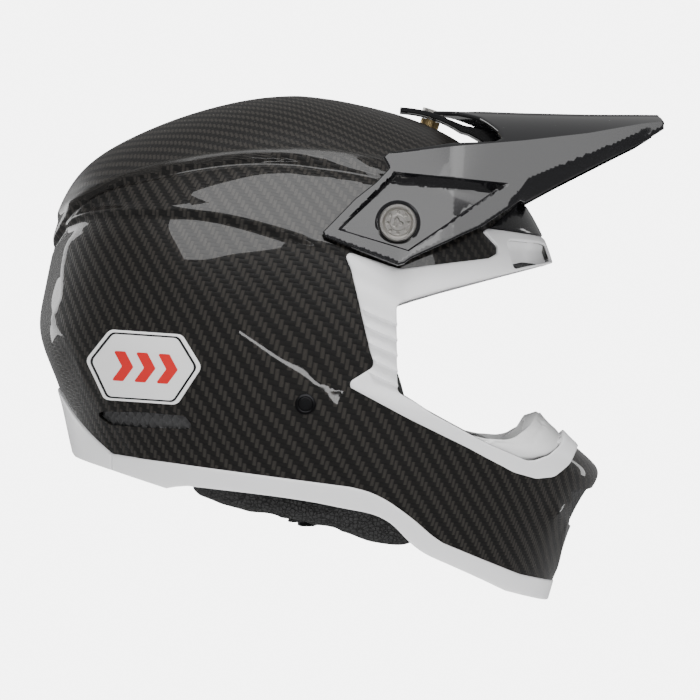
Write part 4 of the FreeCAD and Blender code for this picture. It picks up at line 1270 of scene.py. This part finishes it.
# ---------------------------------------------------------------- chin strap
def strap_strip(name, path, width, thick, middle_x, body, node):
    """A woven strap along a (y, z) path: ribbed face, rolled edges."""
    line = spline(path, 1.2)
    along = np.gradient(line, axis=0)
    along /= np.linalg.norm(along, axis=1)[:, None]
    out = np.stack([-along[:, 1], along[:, 0]], 1)
    across = np.linspace(-1, 1, 41)
    section = []
    for side in (1, -1):
        for u in (across if side > 0 else across[::-1]):
            edge = (1 - abs(u) ** 8) ** 0.5
            rib = 0.10 * math.cos(u * width * math.pi / 1.5)
            section.append((u * width / 2, side * (thick / 2 * edge * 0.9 + rib * edge)))
    section = np.array(section)
    ring = len(section)
    points = []
    for index, (here, normal) in enumerate(zip(line, out)):
        weave = 0.12 * math.sin(index * 1.9)
        high = section[:, 1] + np.sign(section[:, 1]) * weave * (np.abs(section[:, 0]) < width / 2 - 0.8)
        points.append(np.stack([middle_x + section[:, 0], here[0] + normal[0] * high,
                                here[1] + normal[1] * high], 1))
    count = len(points)
    faces = []
    for i in range(count - 1):
        for j in range(ring):
            k = (j + 1) % ring
            faces.append((i * ring + j, i * ring + k, (i + 1) * ring + k, (i + 1) * ring + j))
    half = ring // 2
    for i, flip in ((0, False), (count - 1, True)):
        for j in range(half - 1):
            quad = (i * ring + j, i * ring + ring - 1 - j, i * ring + ring - 2 - j, i * ring + j + 1)
            faces.append(quad[::-1] if flip else quad)
    piece = new_object(name, np.vstack(points), faces, sharp=40)
    weld(piece, 1e-6)
    return finish_piece(piece, WEBBING, body, node)


RIVET = (12.0, -53.5)
HANGER_FACE = 95.5
STRAP = (24.0, 2.0)
RING_BAR = (34.0, -120.5)


def make_straps():
    """Short strap round the ring bar, and the long strap through the rings and back."""
    face = HANGER_FACE - STRAP[1] / 2 - 1.2
    drop = [(face, RIVET[1] - 9), (face, RIVET[1] - 22), (84, -88), (67, -100), (52, -109)]
    loop = [(RING_BAR[0] + 5.2 * math.cos(a), RING_BAR[1] + 5.2 * math.sin(a))
            for a in np.radians((60, 100, 140, 180, 220, 260, 300, 340))]
    short = [*drop, (44, -113.6), *loop]
    strap_strip("strap_short_webbing", short, *STRAP, RIVET[0], "chin_strap", "short_strap")
    long_path = [(-y, z) for y, z in (
        *drop, (38, -113.5), (10, -114.3), (-12, -114.1), (-20, -115), (-24.8, -120.4),
        (-20, -126), (-12, -126.9), (10, -127))]
    strap_strip("strap_long_webbing", long_path, *STRAP, RIVET[0], "chin_strap", "long_strap")


make_shell()
make_port_trim()
make_brow()
make_rims()
make_mouthpiece()
make_badges()
make_peak()
make_tongue()
make_bosses()
make_side_screws()
make_rivets()
make_pads()
make_straps()

# ---------------------------------------------------------------- stage
VIEW_WIDTH = 0.434


def make_stage():
    """Pale floor, soft lights and the long-lens camera square to the right side."""
    low, high = cad_bounds
    middle = (Vector(low) + Vector(high)) / 2
    floor = bpy.data.meshes.new("floor")
    reach = 2.0
    depth = low[2] - 0.3
    corners = ((-reach, -reach), (reach, -reach), (reach, reach), (-reach, reach))
    floor.from_pydata([(x, y, depth) for x, y in corners], [], [(0, 1, 2, 3)])
    ground = bpy.data.objects.new("floor", floor)
    paint = plastic("floor_paint", (0.92, 0.92, 0.92), 0.8)
    glow = paint.node_tree.nodes["Principled BSDF"].inputs
    glow["Emission Color"].default_value = (1, 1, 1, 1)
    glow["Emission Strength"].default_value = 0.9
    ground.data.materials.append(paint)
    bpy.context.scene.collection.objects.link(ground)
    ground.visible_glossy = False
    world = bpy.data.worlds.new("studio")
    bpy.context.scene.world = world
    world.use_nodes = True
    tree = world.node_tree
    back = tree.nodes["Background"]
    back.inputs[0].default_value = (1, 1, 1, 1)
    back.inputs[1].default_value = 0.22
    shown = tree.nodes.new("ShaderNodeBackground")
    shown.inputs[0].default_value = (1, 1, 1, 1)
    shown.inputs[1].default_value = 6.0
    ray = tree.nodes.new("ShaderNodeLightPath")
    mix = tree.nodes.new("ShaderNodeMixShader")
    tree.links.new(ray.outputs["Is Camera Ray"], mix.inputs[0])
    tree.links.new(back.outputs[0], mix.inputs[1])
    tree.links.new(shown.outputs[0], mix.inputs[2])
    tree.links.new(mix.outputs[0], tree.nodes["World Output"].inputs[0])

    def softbox(name, place, size, power, roll=0.0, mirrored=True):
        light = bpy.data.lights.new(name, "AREA")
        light.shape = "RECTANGLE"
        light.size = size[0]
        light.size_y = size[1]
        light.energy = power
        lamp = bpy.data.objects.new(name, light)
        lamp.location = Vector(place)
        turn = (middle - Vector(place)).to_track_quat("-Z", "Y")
        lamp.rotation_euler = (turn @ Quaternion((0, 0, 1), math.radians(roll))).to_euler()
        lamp.visible_glossy = mirrored
        bpy.context.scene.collection.objects.link(lamp)

    softbox("key_overhead", (0.05, -0.98, 1.28), (1.9, 1.02), 20)
    softbox("peak_panel", (1.15, -1.88, 1.02), (1.3, 0.98), 10.5)
    softbox("key_fill", (0.1, -0.6, 1.7), (0.6, 0.5), 30, mirrored=False)
    softbox("far_fill", (0.2, 1.6, 1.0), (1.6, 0.9), 26, mirrored=False)
    softbox("low_fill", (-0.2, -2.2, -1.7), (1.4, 0.2), 8, mirrored=False)
    softbox("back_strip", (-1.5, 1.15, 0.3), (0.8, 1.3), 10)
    softbox("front_strip", (1.6, 1.1, 0.1), (0.25, 1.2), 3)
    softbox("streak", (-0.15, -2.5, 0.03), (1.1, 0.035), 1.0, -23)

    camera = bpy.data.cameras.new("camera")
    camera.sensor_width = 36
    lens = bpy.data.objects.new("camera", camera)
    distance = 3.0
    lens.location = (middle.x, middle.y - distance, middle.z)
    lens.rotation_euler = (math.radians(90), 0, 0)
    bpy.context.scene.collection.objects.link(lens)
    bpy.context.scene.camera = lens
    camera.lens = camera.sensor_width * distance / VIEW_WIDTH
    camera.clip_end = 60


make_stage()
